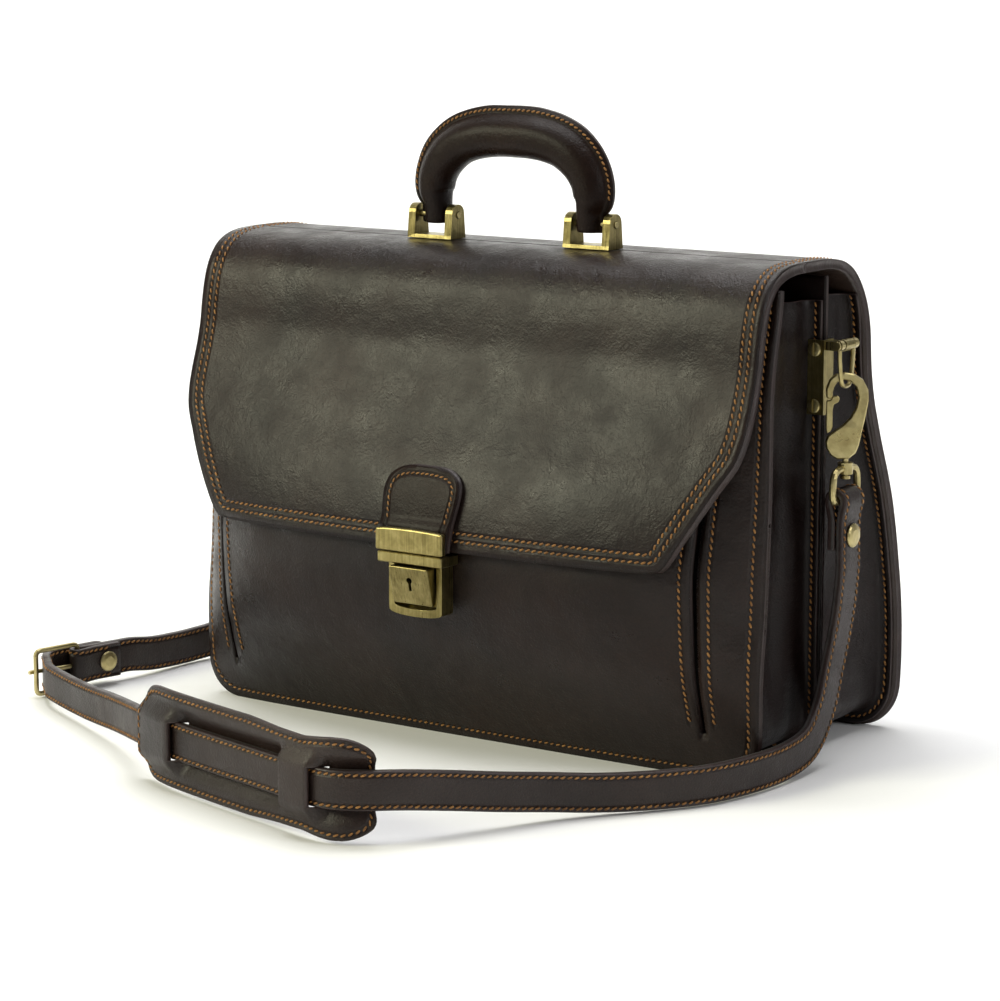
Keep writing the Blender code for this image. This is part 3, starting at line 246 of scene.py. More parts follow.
def leather(name, colours, rough, pore=900.0, pore_depth=0.00016, crease=0.0013, coat=0.06, seams=True,
            shine=0.42):
    """Waxed hide: clouded colour and gloss, fine pores, soft creases, a pull along the stitched lines, and
    painted shade darkening the colour along them.
    """
    made, tree, shader, place = material(name)
    blotch = noise_of(tree, place, 9.0, 6.0, 0.66, 0.3)
    colour = ramp(tree, blotch, [(0.34, colours[0]), (0.5, colours[1]), (0.68, colours[2])])
    grain = noise_of(tree, place, 900.0, 3.0, 0.6)
    speckle = ramp(tree, grain, [(0.36, (0.7, 0.7, 0.7)), (0.66, (1.2, 1.17, 1.12))])
    mixed = node(tree, "ShaderNodeMix")
    mixed.data_type = "RGBA"
    mixed.blend_type = "MULTIPLY"
    mixed.inputs[0].default_value = 1.0
    tree.links.new(colour, mixed.inputs[6])
    tree.links.new(speckle, mixed.inputs[7])
    shade = mixed.outputs[2]
    if seams:
        # Painted shade: the colour is multiplied down to 0.42 right on the stitched lines and back to full
        # within 1.5 mm, standing in for shade in the stitch grooves.
        reach = node(tree, "ShaderNodeAttribute")
        reach.attribute_name = "seam"
        painted_groove_shade = ramp(tree, spread(tree, reach.outputs["Fac"], 0.0, 1.5, 0.0, 1.0),
                      [(0.0, (0.42, 0.4, 0.38)), (1.0, (1.0, 1.0, 1.0))])
        groove_shade_mix = node(tree, "ShaderNodeMix")
        groove_shade_mix.data_type = "RGBA"
        groove_shade_mix.blend_type = "MULTIPLY"
        groove_shade_mix.inputs[0].default_value = 1.0
        tree.links.new(shade, groove_shade_mix.inputs[6])
        tree.links.new(painted_groove_shade, groove_shade_mix.inputs[7])
        shade = groove_shade_mix.outputs[2]
    tree.links.new(shade, shader.inputs["Base Color"])
    gloss = noise_of(tree, place, 34.0, 6.0, 0.68, 0.2)
    tree.links.new(spread(tree, gloss, 0.32, 0.68, rough[0], rough[1]), shader.inputs["Roughness"])
    shader.inputs["Coat Weight"].default_value = coat
    shader.inputs["Coat Roughness"].default_value = 0.3
    shader.inputs["Specular IOR Level"].default_value = shine
    normal = bump(tree, noise_of(tree, place, 14.0, 2.0, 0.45), 0.0042)
    normal = bump(tree, noise_of(tree, place, 62.0, 4.0, 0.55, 0.2), crease, normal)
    normal = bump(tree, noise_of(tree, place, 620.0, 4.0, 0.7), 0.0003, normal)
    cells = node(tree, "ShaderNodeTexVoronoi", Vector=place, Scale=pore)
    cells.feature = "SMOOTH_F1"
    normal = bump(tree, cells.outputs["Distance"], pore_depth, normal)
    if seams:
        rise = spread(tree, reach.outputs["Fac"], 0.0, 1.9, 0.0, 1.0)
        normal = bump(tree, rise, 0.0009, normal)
    tree.links.new(normal, shader.inputs["Normal"])
    return made


def painted_edge(name, colour):
    """The painted, burnished cut edge of the leather."""
    made, tree, shader, place = material(name)
    blotch = noise_of(tree, place, 60.0, 4.0)
    shade = [tuple(c * k for c in colour) for k in (0.72, 1.0, 1.22)]
    tree.links.new(ramp(tree, blotch, [(0.3, shade[0]), (0.5, shade[1]), (0.7, shade[2])]),
                   shader.inputs["Base Color"])
    gloss = spread(tree, noise_of(tree, place, 90.0), 0.3, 0.7, 0.36, 0.56)
    tree.links.new(gloss, shader.inputs["Roughness"])
    normal = bump(tree, noise_of(tree, place, 260.0, 4.0, 0.6), 0.0005)
    tree.links.new(normal, shader.inputs["Normal"])
    return made


def thread_material(name):
    """Waxed golden-tan thread."""
    made, tree, shader, place = material(name)
    blotch = noise_of(tree, place, 260.0, 2.0)
    tree.links.new(ramp(tree, blotch, [(0.3, (0.16, 0.066, 0.013)), (0.52, (0.27, 0.12, 0.026)),
                                       (0.74, (0.38, 0.185, 0.045))]), shader.inputs["Base Color"])
    gloss = spread(tree, noise_of(tree, place, 900.0), 0.3, 0.7, 0.5, 0.72)
    tree.links.new(gloss, shader.inputs["Roughness"])
    tree.links.new(bump(tree, noise_of(tree, place, 3200.0), 0.0003), shader.inputs["Normal"])
    return made


def brass_material(name, stretch, colours, rough, scratch=0.00006):
    """Antique brass, brushed along the axis where stretch is small, with a darker tone in patches."""
    made, tree, shader, place = material(name)
    streak = node(tree, "ShaderNodeMapping", Vector=place)
    streak.inputs["Scale"].default_value = stretch
    lines = noise_of(tree, streak.outputs["Vector"], 1.0, 4.0, 0.62)
    patch = noise_of(tree, place, 130.0, 4.0, 0.6, 0.5)
    both = node(tree, "ShaderNodeMath", _0=lines, _1=patch)
    both.operation = "ADD"
    tone = spread(tree, both.outputs["Value"], 0.7, 1.3, 0.0, 1.0)
    tree.links.new(ramp(tree, tone, [(0.0, colours[0]), (0.5, colours[1]), (1.0, colours[2])]),
                   shader.inputs["Base Color"])
    shader.inputs["Metallic"].default_value = 1.0
    tree.links.new(spread(tree, lines, 0.3, 0.7, rough[0], rough[1]), shader.inputs["Roughness"])
    normal = bump(tree, lines, scratch)
    normal = bump(tree, noise_of(tree, place, 520.0, 3.0), 0.00009, normal)
    tree.links.new(normal, shader.inputs["Normal"])
    return made


COVER_TONES = [(0.0058, 0.0027, 0.0019), (0.0102, 0.0048, 0.0033), (0.0175, 0.0087, 0.006)]
GUSSET_TONES = [(0.0046, 0.002, 0.0018), (0.0072, 0.0032, 0.0028), (0.0115, 0.0053, 0.0044)]
COVER = leather("cover_leather", COVER_TONES, (0.25, 0.54), shine=0.26)
SMOOTH = leather("smooth_leather", [(0.006, 0.0028, 0.002), (0.0105, 0.005, 0.0035), (0.018, 0.009, 0.0062)],
                 (0.26, 0.42), crease=0.0007, shine=0.12, coat=0.03)
GUSSET = leather("gusset_leather", GUSSET_TONES, (0.36, 0.52), shine=0.2)
STRAP = leather("strap_leather", [(0.0098, 0.005, 0.004), (0.0165, 0.0088, 0.007), (0.0255, 0.0142, 0.0112)],
                (0.36, 0.54), crease=0.0008, pore=1100.0, pore_depth=0.0002, coat=0.03, shine=0.36)
EDGE = painted_edge("edge_paint", (0.026, 0.0135, 0.0118))
LINING = painted_edge("flesh_side", (0.03, 0.017, 0.012))
THREAD = thread_material("thread")
BRASS_TONES = [(0.17, 0.137, 0.052), (0.27, 0.222, 0.088), (0.4, 0.335, 0.145)]
BRASS_BRIGHT = [(0.32, 0.26, 0.115), (0.44, 0.37, 0.175), (0.56, 0.48, 0.25)]
BRASS = brass_material("antique_brass", (900.0, 900.0, 30.0), BRASS_TONES, (0.26, 0.4))
BRIGHT = brass_material("worn_brass", (60.0, 60.0, 60.0), BRASS_BRIGHT, (0.26, 0.42), 0.00003)
STIFFENER = painted_edge("fibreboard", (0.1, 0.08, 0.06))


# Meshes

def piece(name, verts, faces, materials, which=None, seam=None, smooth=True):
    """One mesh object from points in millimetres. which gives each face's material."""
    mesh = bpy.data.meshes.new(name)
    mesh.from_pydata((np.asarray(verts, float) * MM).tolist(), [], faces)
    for made in materials:
        mesh.materials.append(made)
    if which is not None:
        mesh.polygons.foreach_set("material_index", which)
    if smooth:
        mesh.shade_smooth()
    if seam is not None:
        found = mesh.attributes.new("seam", "FLOAT", "POINT")
        found.data.foreach_set("value", np.asarray(seam, np.float32))
    mesh.update()
    obj = bpy.data.objects.new(name, mesh)
    bpy.context.scene.collection.objects.link(obj)
    return obj


def segment_distance(points, line):
    """Distance of each 2D point from a polyline."""
    points = np.asarray(points, float)
    line = np.asarray(line, float)
    best = np.full(len(points), 1e9)
    for a, b in zip(line[:-1], line[1:]):
        along = b - a
        span = float(along @ along)
        if span < 1e-12:
            continue
        share = np.clip(((points - a) @ along) / span, 0.0, 1.0)
        gap = np.linalg.norm(points - (a + share[:, None] * along), axis=1)
        best = np.minimum(best, gap)
    return best


def sheet(name, outer, inner, materials, skip=None, seam=None, round_off=1.0, flat_rows=()):
    """A leather sheet between two grids of points, with rounded edges. materials are for face, back and edge.

    flat_rows names grid rows, 0 or -1, whose edge is a plain cut that meets another sheet."""
    outer = np.array(outer, float)
    inner = np.array(inner, float)
    rows, columns = outer.shape[:2]
    cells = np.ones((rows - 1, columns - 1), bool)
    if skip is not None:
        for i in range(rows - 1):
            for j in range(columns - 1):
                cells[i, j] = not skip(i, j)
    cut = {r % rows for r in flat_rows}
    directed = []
    for i in range(rows - 1):
        for j in range(columns - 1):
            if not cells[i, j]:
                continue
            corners = [(i, j), (i + 1, j), (i + 1, j + 1), (i, j + 1)]
            beside = [(i, j - 1), (i + 1, j), (i, j + 1), (i - 1, j)]
            for k in range(4):
                a, b = beside[k]
                if 0 <= a < rows - 1 and 0 <= b < columns - 1 and cells[a, b]:
                    continue
                directed.append((corners[k], corners[(k + 1) % 4]))
    push = {}
    plain = set()
    for a, b in directed:
        along = outer[b] - outer[a]
        depth = inner[a] - outer[a]
        away = np.cross(depth, along)
        size = np.linalg.norm(away)
        away = away / size if size > 1e-9 else away
        flat = a[0] == b[0] and a[0] in cut
        for end in (a, b):
            if flat:
                plain.add(end)
            else:
                push.setdefault(end, []).append(away)
    verts = []
    seams = []
    faces = []
    which = []
    cut_faces = []
    near = -np.ones((rows, columns), int)
    far = -np.ones((rows, columns), int)
    used = np.zeros((rows, columns), bool)
    used[:-1, :-1] |= cells
    used[1:, :-1] |= cells
    used[1:, 1:] |= cells
    used[:-1, 1:] |= cells
    sides = {}
    for key, list_of in push.items():
        away = np.mean(list_of, axis=0)
        size = np.linalg.norm(away)
        sides[key] = away / size if size > 1e-9 else away
    for i in range(rows):
        for j in range(columns):
            if not used[i, j]:
                continue
            shift = sides.get((i, j))
            near[i, j] = len(verts)
            verts.append(outer[i, j] - shift * round_off if shift is not None else outer[i, j])
            seams.append(seam[i, j] if seam is not None else 9.0)
            far[i, j] = len(verts)
            verts.append(inner[i, j] - shift * round_off if shift is not None else inner[i, j])
            seams.append(seam[i, j] if seam is not None else 9.0)
    for i in range(rows - 1):
        for j in range(columns - 1):
            if cells[i, j]:
                faces.append((near[i, j], near[i + 1, j], near[i + 1, j + 1], near[i, j + 1]))
                which.append(0)
                faces.append((far[i, j], far[i, j + 1], far[i + 1, j + 1], far[i + 1, j]))
                which.append(1)
    rim = {}
    for a, b in directed:
        for end in (a, b):
            if end in rim:
                continue
            p = outer[end]
            q = inner[end]
            shift = sides.get(end)
            if shift is None or (end in plain and end not in push):
                rim[end] = []
                continue
            ring = []
            for share, stand in ((0.16, -0.28), (0.5, 0.0), (0.84, -0.28)):
                ring.append(len(verts))
                verts.append(p * (1.0 - share) + q * share + shift * stand * round_off)
                seams.append(9.0)
            rim[end] = ring
    for a, b in directed:
        chain_a = [near[a]] + rim[a] + [far[a]]
        chain_b = [near[b]] + rim[b] + [far[b]]
        if len(chain_a) != len(chain_b) or (a[0] == b[0] and a[0] in cut):
            loop = [chain_b[0]] + chain_a + chain_b[1:][::-1]
            cut_faces.append(len(faces))
            faces.append(tuple(dict.fromkeys(loop)))
            which.append(2)
            continue
        for k in range(len(chain_a) - 1):
            faces.append((chain_b[k], chain_a[k], chain_a[k + 1], chain_b[k + 1]))
            which.append(2)
    made = piece(name, verts, faces, materials, which, seams)
    bm = bmesh.new()
    bm.from_mesh(made.data)
    bmesh.ops.recalc_face_normals(bm, faces=bm.faces[:])
    if bm.calc_volume(signed=True) < 0.0:
        bmesh.ops.reverse_faces(bm, faces=bm.faces[:])
    bm.to_mesh(made.data)
    bm.free()
    for k in cut_faces:
        made.data.polygons[k].use_smooth = False
    return made


STITCH_PITCH = 4.1
STITCH_LENGTH = 3.5
STITCH_RADIUS = 0.55
STITCH_SLANT = math.radians(22.0)
STITCH_RINGS = [(-1.0, 0.3, -0.62), (-0.62, 0.86, 0.1), (0.0, 1.0, 0.42), (0.62, 0.86, 0.1),
                (1.0, 0.3, -0.62)]


def stitches(name, rows, pitch=STITCH_PITCH, slant=STITCH_SLANT, scale=1.0):
    """Separate stitches along rows of (points, outward normals), all in one mesh."""
    verts = []
    faces = []
    sides = 6
    for points, normals in rows:
        points = np.asarray(points, float)
        normals = unit(np.asarray(normals, float))
        steps = np.linalg.norm(np.diff(points, axis=0), axis=1)
        lengths = np.concatenate([[0.0], np.cumsum(steps)])
        count = int(lengths[-1] / pitch)
        if count < 1:
            continue
        start = (lengths[-1] - (count - 1) * pitch) / 2.0
        at = start + pitch * np.arange(count)
        centres = np.column_stack([np.interp(at, lengths, points[:, k]) for k in range(3)])
        before = np.column_stack([np.interp(at - 0.6, lengths, points[:, k]) for k in range(3)])
        after = np.column_stack([np.interp(at + 0.6, lengths, points[:, k]) for k in range(3)])
        along = unit(after - before)
        up = unit(np.column_stack([np.interp(at, lengths, normals[:, k]) for k in range(3)]))
        side = unit(np.cross(up, along))
        for c, t, n, s in zip(centres, along, up, side):
            lean = slant + RNG.uniform(-0.05, 0.05)
            d = t * math.cos(lean) + s * math.sin(lean)
            w = np.cross(n, d)
            half = STITCH_LENGTH / 2.0 * RNG.uniform(0.94, 1.06) * min(pitch / STITCH_PITCH, 1.0)
            base = len(verts)
            for place, thick, lift in STITCH_RINGS:
                radius = STITCH_RADIUS * thick * scale
                middle = c + d * (place * half) + n * (lift * STITCH_RADIUS * scale)
                for k in range(sides):
                    a = 2.0 * math.pi * k / sides
                    verts.append(middle + w * (radius * 1.15 * math.cos(a)) + n * (radius * math.sin(a)))
            for r in range(len(STITCH_RINGS) - 1):
                for k in range(sides):
                    m = (k + 1) % sides
                    faces.append((base + r * sides + k, base + r * sides + m,
                                  base + (r + 1) * sides + m, base + (r + 1) * sides + k))
            last = base + (len(STITCH_RINGS) - 1) * sides
            faces.append(tuple(base + k for k in range(sides))[::-1])
            faces.append(tuple(last + k for k in range(sides)))
    return piece(name, verts, faces, [THREAD])


def carry(obj, body):
    """The piece rides on a body."""
    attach(obj, body)
    return obj


# Shell: flap, top and back are one hide, split in two sheets where the handle hides the split.

SHELL = spline(FLAP_PROFILE + TOP_PROFILE[1:] + BACK_PROFILE[1:], 0.5)
SHELL_S = np.concatenate([[0.0], np.cumsum(np.linalg.norm(np.diff(SHELL, axis=0), axis=1))])
SHELL_ALONG = directions(SHELL)
TOP_INDEX = int(np.argmin(np.abs(SHELL[:, 0] - TOP_SPLIT_Y) + (SHELL[:, 1] < 285.0) * 999.0))
FLAP_END = int(np.argmin(np.abs(SHELL[:, 0] + 57.0) + np.abs(SHELL[:, 1] - 284.0)))
BACK_START = int(np.argmin(np.abs(SHELL[:, 0] - 39.0) + np.abs(SHELL[:, 1] - 276.0)))
OUTLINE = spline(FLAP_OUTLINE[:-1], 0.5)


def shell_half(s):
    """Half the shell's width at this length along it."""
    z = float(np.interp(s, SHELL_S, SHELL[:, 1]))
    if s < SHELL_S[FLAP_END]:
        if z >= OUTLINE[-1, 0]:
            return 198.5
        return float(np.interp(z, OUTLINE[:, 0], OUTLINE[:, 1]))
    share = ease((s - SHELL_S[BACK_START]) / 40.0)
    return 198.5 + (corner_half_width(z) - 198.5) * share


def shell_point(x, s, depth=0.0):
    """A point of the shell, depth below its outer surface."""
    y = float(np.interp(s, SHELL_S, SHELL[:, 0]))
    z = float(np.interp(s, SHELL_S, SHELL[:, 1]))
    ay = float(np.interp(s, SHELL_S, SHELL_ALONG[:, 0]))
    az = float(np.interp(s, SHELL_S, SHELL_ALONG[:, 1]))
    size = math.hypot(ay, az)
    push = 0.0
    if s < SHELL_S[FLAP_END]:
        share = min(abs(x) / shell_half(s), 1.0)
        push = float(np.interp(z, FLAP_KEYS, FLAP_VALUES)) * (1.0 - share ** 3)
    return (x, y - push + az / size * depth, max(z - ay / size * depth, 0.0))


def shell_normal(x, s):
    """The outward normal of the shell."""
    a = np.array(shell_point(x, s - 0.5))
    b = np.array(shell_point(x, s + 0.5))
    c = np.array(shell_point(x - 0.5, s))
    d = np.array(shell_point(x + 0.5, s))
    return unit(np.cross(d - c, b - a))


SHELL_LENGTH = float(SHELL_S[-1])
SHELL_EDGE = [(shell_half(s), s) for s in np.concatenate([np.arange(0.0, 30.0, 0.5),
                                                         np.arange(30.0, SHELL_LENGTH - 30.0, 4.0),
                                                         np.linspace(SHELL_LENGTH - 30.0, SHELL_LENGTH, 60)])]
SHELL_LOOP = ([(0.0, 0.0)] + [(150.0 * k / 8.0, 0.0) for k in range(1, 8)] + SHELL_EDGE
              + [(x, SHELL_LENGTH) for x in (150.0, 75.0, 0.0)])


def offset_line(line, depth):
    """The polyline moved to its left by depth, with folded-back stretches dropped."""
    line = np.array(line, float)
    along = directions(line)
    moved = line + np.column_stack([-along[:, 1], along[:, 0]]) * depth
    clear = segment_distance(moved, line) > depth - 0.12
    return moved[clear]


def resample(line, spacing):
    """Even points along a polyline."""
    steps = np.linalg.norm(np.diff(line, axis=0), axis=1)
    lengths = np.concatenate([[0.0], np.cumsum(steps)])
    count = max(int(lengths[-1] / spacing), 2)
    at = np.linspace(0.0, lengths[-1], count)
    return np.column_stack([np.interp(at, lengths, line[:, k]) for k in range(line.shape[1])])


ROW_ONE = resample(offset_line(SHELL_LOOP, 5.0), 1.2)
ROW_TWO = resample(offset_line(SHELL_LOOP, 9.6), 1.2)
ROW_TWO = ROW_TWO[ROW_TWO[:, 1] < SHELL_S[BACK_START] - 2.0]


def across_columns():
    """Shares of the half width, closer together near the edges."""
    insets = [0.0, 2.2, 3.6, 5.0, 6.4, 8.0, 9.6, 11.2, 13.5, 17.0, 22.0, 30.0, 42.0, 58.0, 76.0, 96.0,
              118.0, 140.0, 160.0, 180.0]
    right = [1.0 - inset / 198.5 for inset in insets]
    return [-share for share in right] + [0.0] + right[::-1]


def shell_sheet(name, stations, flat_rows):
    """A stretch of the shell as a sheet, with its distance from the stitched lines."""
    shares = across_columns()
    outer = []
    inner = []
    flat = []
    for s in stations:
        half = shell_half(s)
        outer.append([shell_point(share * half, s) for share in shares])
        inner.append([shell_point(share * half, s, SHELL_THICKNESS) for share in shares])
        flat.append([(abs(share) * half, s) for share in shares])
    flat = np.array(flat)
    reach = np.minimum(segment_distance(flat.reshape(-1, 2), ROW_ONE),
                       segment_distance(flat.reshape(-1, 2), ROW_TWO)).reshape(flat.shape[:2])
    return sheet(name, outer, inner, [COVER, LINING, EDGE], seam=reach, round_off=1.5, flat_rows=flat_rows)


def fine_ends(low, high, fine_low, fine_high, spacing):
    """Stations from low to high, closer together at the ends that are cut edges."""
    steps = [0.0, 1.5, 3.0, 4.2, 5.4, 6.8, 8.2, 9.6, 11.2, 13.5, 16.5, 20.0]
    start = [low + step for step in steps] if fine_low else [low]
    end = [high - step for step in steps][::-1] if fine_high else [high]
    middle = np.arange(start[-1] + spacing, end[0] - spacing * 0.5, spacing)
    return start + list(middle) + end


SPLIT_S = float(SHELL_S[TOP_INDEX])
flap_sheet = shell_sheet("flap_cover", fine_ends(0.0, SPLIT_S, True, False, 4.0), (-1,))
back_sheet = shell_sheet("back_cover", fine_ends(SPLIT_S, SHELL_LENGTH, False, True, 4.0), (0,))


def shell_rows(low, high, rows):
    """Stitch rows of the shell on both sides between two lengths along it."""
    found = []
    for row in rows:
        kept = row[(row[:, 1] >= low) & (row[:, 1] <= high)]
        for side in (1.0, -1.0):
            points = [shell_point(side * x, s) for x, s in kept]
            normals = [shell_normal(side * x, s) for x, s in kept]
            found.append((points, normals))
    return found


flap_thread = stitches("flap_stitches", shell_rows(0.0, SPLIT_S, (ROW_ONE, ROW_TWO)))
back_thread = stitches("back_stitches", shell_rows(SPLIT_S, SHELL_LENGTH, (ROW_ONE, ROW_TWO)))
for obj in (flap_sheet, flap_thread):
    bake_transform(obj)
for obj in (back_sheet, back_thread):
    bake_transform(obj)
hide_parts("flap", "top_cover")
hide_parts("rear_cover")


# Front panel with its pocket, and the walls behind it

def panel_outline(top):
    """Right half of a panel's outline, from the middle of its lower edge up its side, as (x, z)."""
    points = [(x, 0.0) for x in np.arange(0.0, HALF_WIDTH - CORNER_RADIUS, 6.0)]
    for k in range(25):
        a = math.pi / 2.0 * k / 24.0
        points.append((HALF_WIDTH - CORNER_RADIUS + CORNER_RADIUS * math.sin(a),
                       CORNER_RADIUS - CORNER_RADIUS * math.cos(a)))
    points += [(HALF_WIDTH, z) for z in np.arange(CORNER_RADIUS + 6.0, top, 6.0)] + [(HALF_WIDTH, top)]
    return np.array(points)


FRONT_ROW = resample(offset_line(panel_outline(PANEL_TOP), 4.6), 1.2)
SLIT_ROWS = [resample(np.array([(SLIT_INNER - 5.0, 31.0), (SLIT_INNER - 5.0, POCKET_TOP - 6.0)]), 2.0),
             resample(np.array([(SLIT_OUTER + 4.6, 31.0), (SLIT_OUTER + 4.6, PANEL_TOP - 6.0)]), 2.0)]
FRONT_INSETS = [0.0, 1.6, 3.0, 4.6, 6.2, 8.0, 11.0, 15.0, 19.0, 22.9, 25.5, 27.5, 29.6, 32.0, 34.5, 37.0,
                39.5, 43.0, 48.0, 56.0, 66.0, 78.0, 92.0, 108.0, 126.0, 146.0, 168.0]
SLIT_LEFT = FRONT_INSETS.index(27.5)
right_xs = [HALF_WIDTH - inset for inset in FRONT_INSETS]
right_xs[SLIT_LEFT] = SLIT_OUTER
right_xs[SLIT_LEFT + 2] = SLIT_INNER
del right_xs[SLIT_LEFT + 1]
front_xs = [-x for x in right_xs] + [0.0] + right_xs[::-1]
front_shares = [x / HALF_WIDTH for x in front_xs]
SLIT_CELLS = (SLIT_LEFT, len(front_xs) - 2 - SLIT_LEFT)
FRONT_ZS = [0.0, 1.4, 2.8, 4.6, 6.4, 8.5, 11.0, 14.0, 17.0, 20.5, SLIT_BOTTOM, 29.0, 33.0] \
    + list(np.arange(37.5, 262.0, 4.6)) + [263.0, 268.0, 272.0, 275.0, PANEL_TOP]


def front_grids(surface, depth, ripple=0.0):
    """Outer and inner grids of the front panel."""
    outer = []
    inner = []
    for z in FRONT_ZS:
        edge = corner_half_width(z)
        first = []
        second = []
        for j, share in enumerate(front_shares):
            pocket = SLIT_CELLS[0] < j <= SLIT_CELLS[1]
            height = z
            if pocket and ripple and z > SLIT_BOTTOM:
                squeezed = (POCKET_TOP - SLIT_BOTTOM) / (PANEL_TOP - SLIT_BOTTOM)
                height = SLIT_BOTTOM + (z - SLIT_BOTTOM) * squeezed
            x = edge * share
            y = surface(x, height)
            if ripple:
                calm = ease((HALF_WIDTH - abs(x)) / 14.0) * ease(height / 20.0)
                y += ripple * calm * (noise.noise(Vector((x * 0.012, 3.1, height * 0.02))) - 0.1)
            first.append((x, y, height))
            second.append((x, y + depth, height))
        outer.append(first)
        inner.append(second)
    return np.array(outer), np.array(inner)


front_outer, front_inner = front_grids(front_y, FRONT_THICKNESS, 1.1)
flat = np.stack([np.abs(front_outer[:, :, 0]), front_outer[:, :, 2]], axis=-1)
front_flat = flat.reshape(-1, 2)
front_reach = np.minimum.reduce([segment_distance(front_flat, row) for row in [FRONT_ROW] + SLIT_ROWS])
front_sheet = sheet("front_cover", front_outer, front_inner, [COVER, LINING, EDGE],
                    skip=lambda i, j: FRONT_ZS[i] >= SLIT_BOTTOM and j in SLIT_CELLS,
                    seam=front_reach.reshape(flat.shape[:2]), round_off=1.0)
carry(front_sheet, "case")
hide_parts("front_panel")
wall_outer, wall_inner = front_grids(pocket_y, POCKET_WALL_THICKNESS)
wall_sheet = sheet("pocket_back", wall_outer, wall_inner, [GUSSET, GUSSET, EDGE], round_off=0.5)
carry(wall_sheet, "case")
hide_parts("pocket_wall")


def panel_rows(rows, surface):
    """Stitch rows on both halves of a panel, just in front of surface(x, z)."""
    found = []
    for row in rows:
        for side in (1.0, -1.0):
            points = []
            normals = []
            for x, z in row:
                y = surface(side * x, z)
                points.append((side * x, y, z))
                slope_x = surface(side * x + 0.5, z) - surface(side * x - 0.5, z)
                slope_z = surface(side * x, z + 0.5) - surface(side * x, z - 0.5)
                normals.append((slope_x, -1.0, slope_z))
            found.append((points, normals))
    return found


def rippled_front(x, z):
    """The front panel's outer surface with its slight waves."""
    calm = ease((HALF_WIDTH - abs(x)) / 14.0) * ease(z / 20.0)
    return front_y(x, z) + 1.1 * calm * (noise.noise(Vector((x * 0.012, 3.1, z * 0.02))) - 0.1)


front_thread = stitches("front_stitches", panel_rows([FRONT_ROW] + SLIT_ROWS, rippled_front))
carry(front_thread, "case")

# Divider
DIVIDER_INSETS = [0.0, 1.2, 2.4, 4.6, 8.0, 14.0, 24.0, 50.0, 90.0, 140.0]
divider_xs = [HALF_WIDTH - inset for inset in DIVIDER_INSETS]
divider_xs = [-x for x in divider_xs] + [0.0] + divider_xs[::-1]
divider_zs = [0.0, 1.2, 2.4, 4.6, 7.0, 10.0, 14.0, 18.0, 22.0, 29.0] + list(np.arange(36.0, 276.0, 8.0)) \
    + [277.0, 279.0, DIVIDER_TOP]
divider_outer = []
divider_inner = []
for z in divider_zs:
    edge = corner_half_width(z) / HALF_WIDTH
    divider_outer.append([(x * edge, DIVIDER_Y - DIVIDER_THICKNESS / 2.0, z) for x in divider_xs])
    divider_inner.append([(x * edge, DIVIDER_Y + DIVIDER_THICKNESS / 2.0, z) for x in divider_xs])
divider_sheet = sheet("divider_wall", divider_outer, divider_inner, [GUSSET, GUSSET, EDGE], round_off=0.7)
carry(divider_sheet, "case")
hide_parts("divider")


# Gussets: soft sheets that turn in from the panels' edges and fold between them

GUSSET_TOP = 268.0


def back_inner(z):
    """The y of the back's inner surface at this height."""
    return float(np.interp(-z, -SHELL[BACK_START:, 1], SHELL[BACK_START:, 0])) - SHELL_THICKNESS * 1.04


def u_path(spacing):
    """Centres (x, z) on the panels' edge and the directions into the case, round the U."""
    radius = CORNER_RADIUS
    points = [(HALF_WIDTH, z) for z in np.arange(GUSSET_TOP, CORNER_RADIUS, -spacing)]
    for k in range(13):
        a = math.pi / 2.0 * k / 12.0
        points.append((HALF_WIDTH - radius + radius * math.cos(a), radius - radius * math.sin(a)))
    points += [(x, 0.0) for x in np.arange(168.0, 0.0, -12.0)]
    points = points + [(0.0, 0.0)] + [(-x, z) for x, z in points[::-1]]
    return np.array(points)


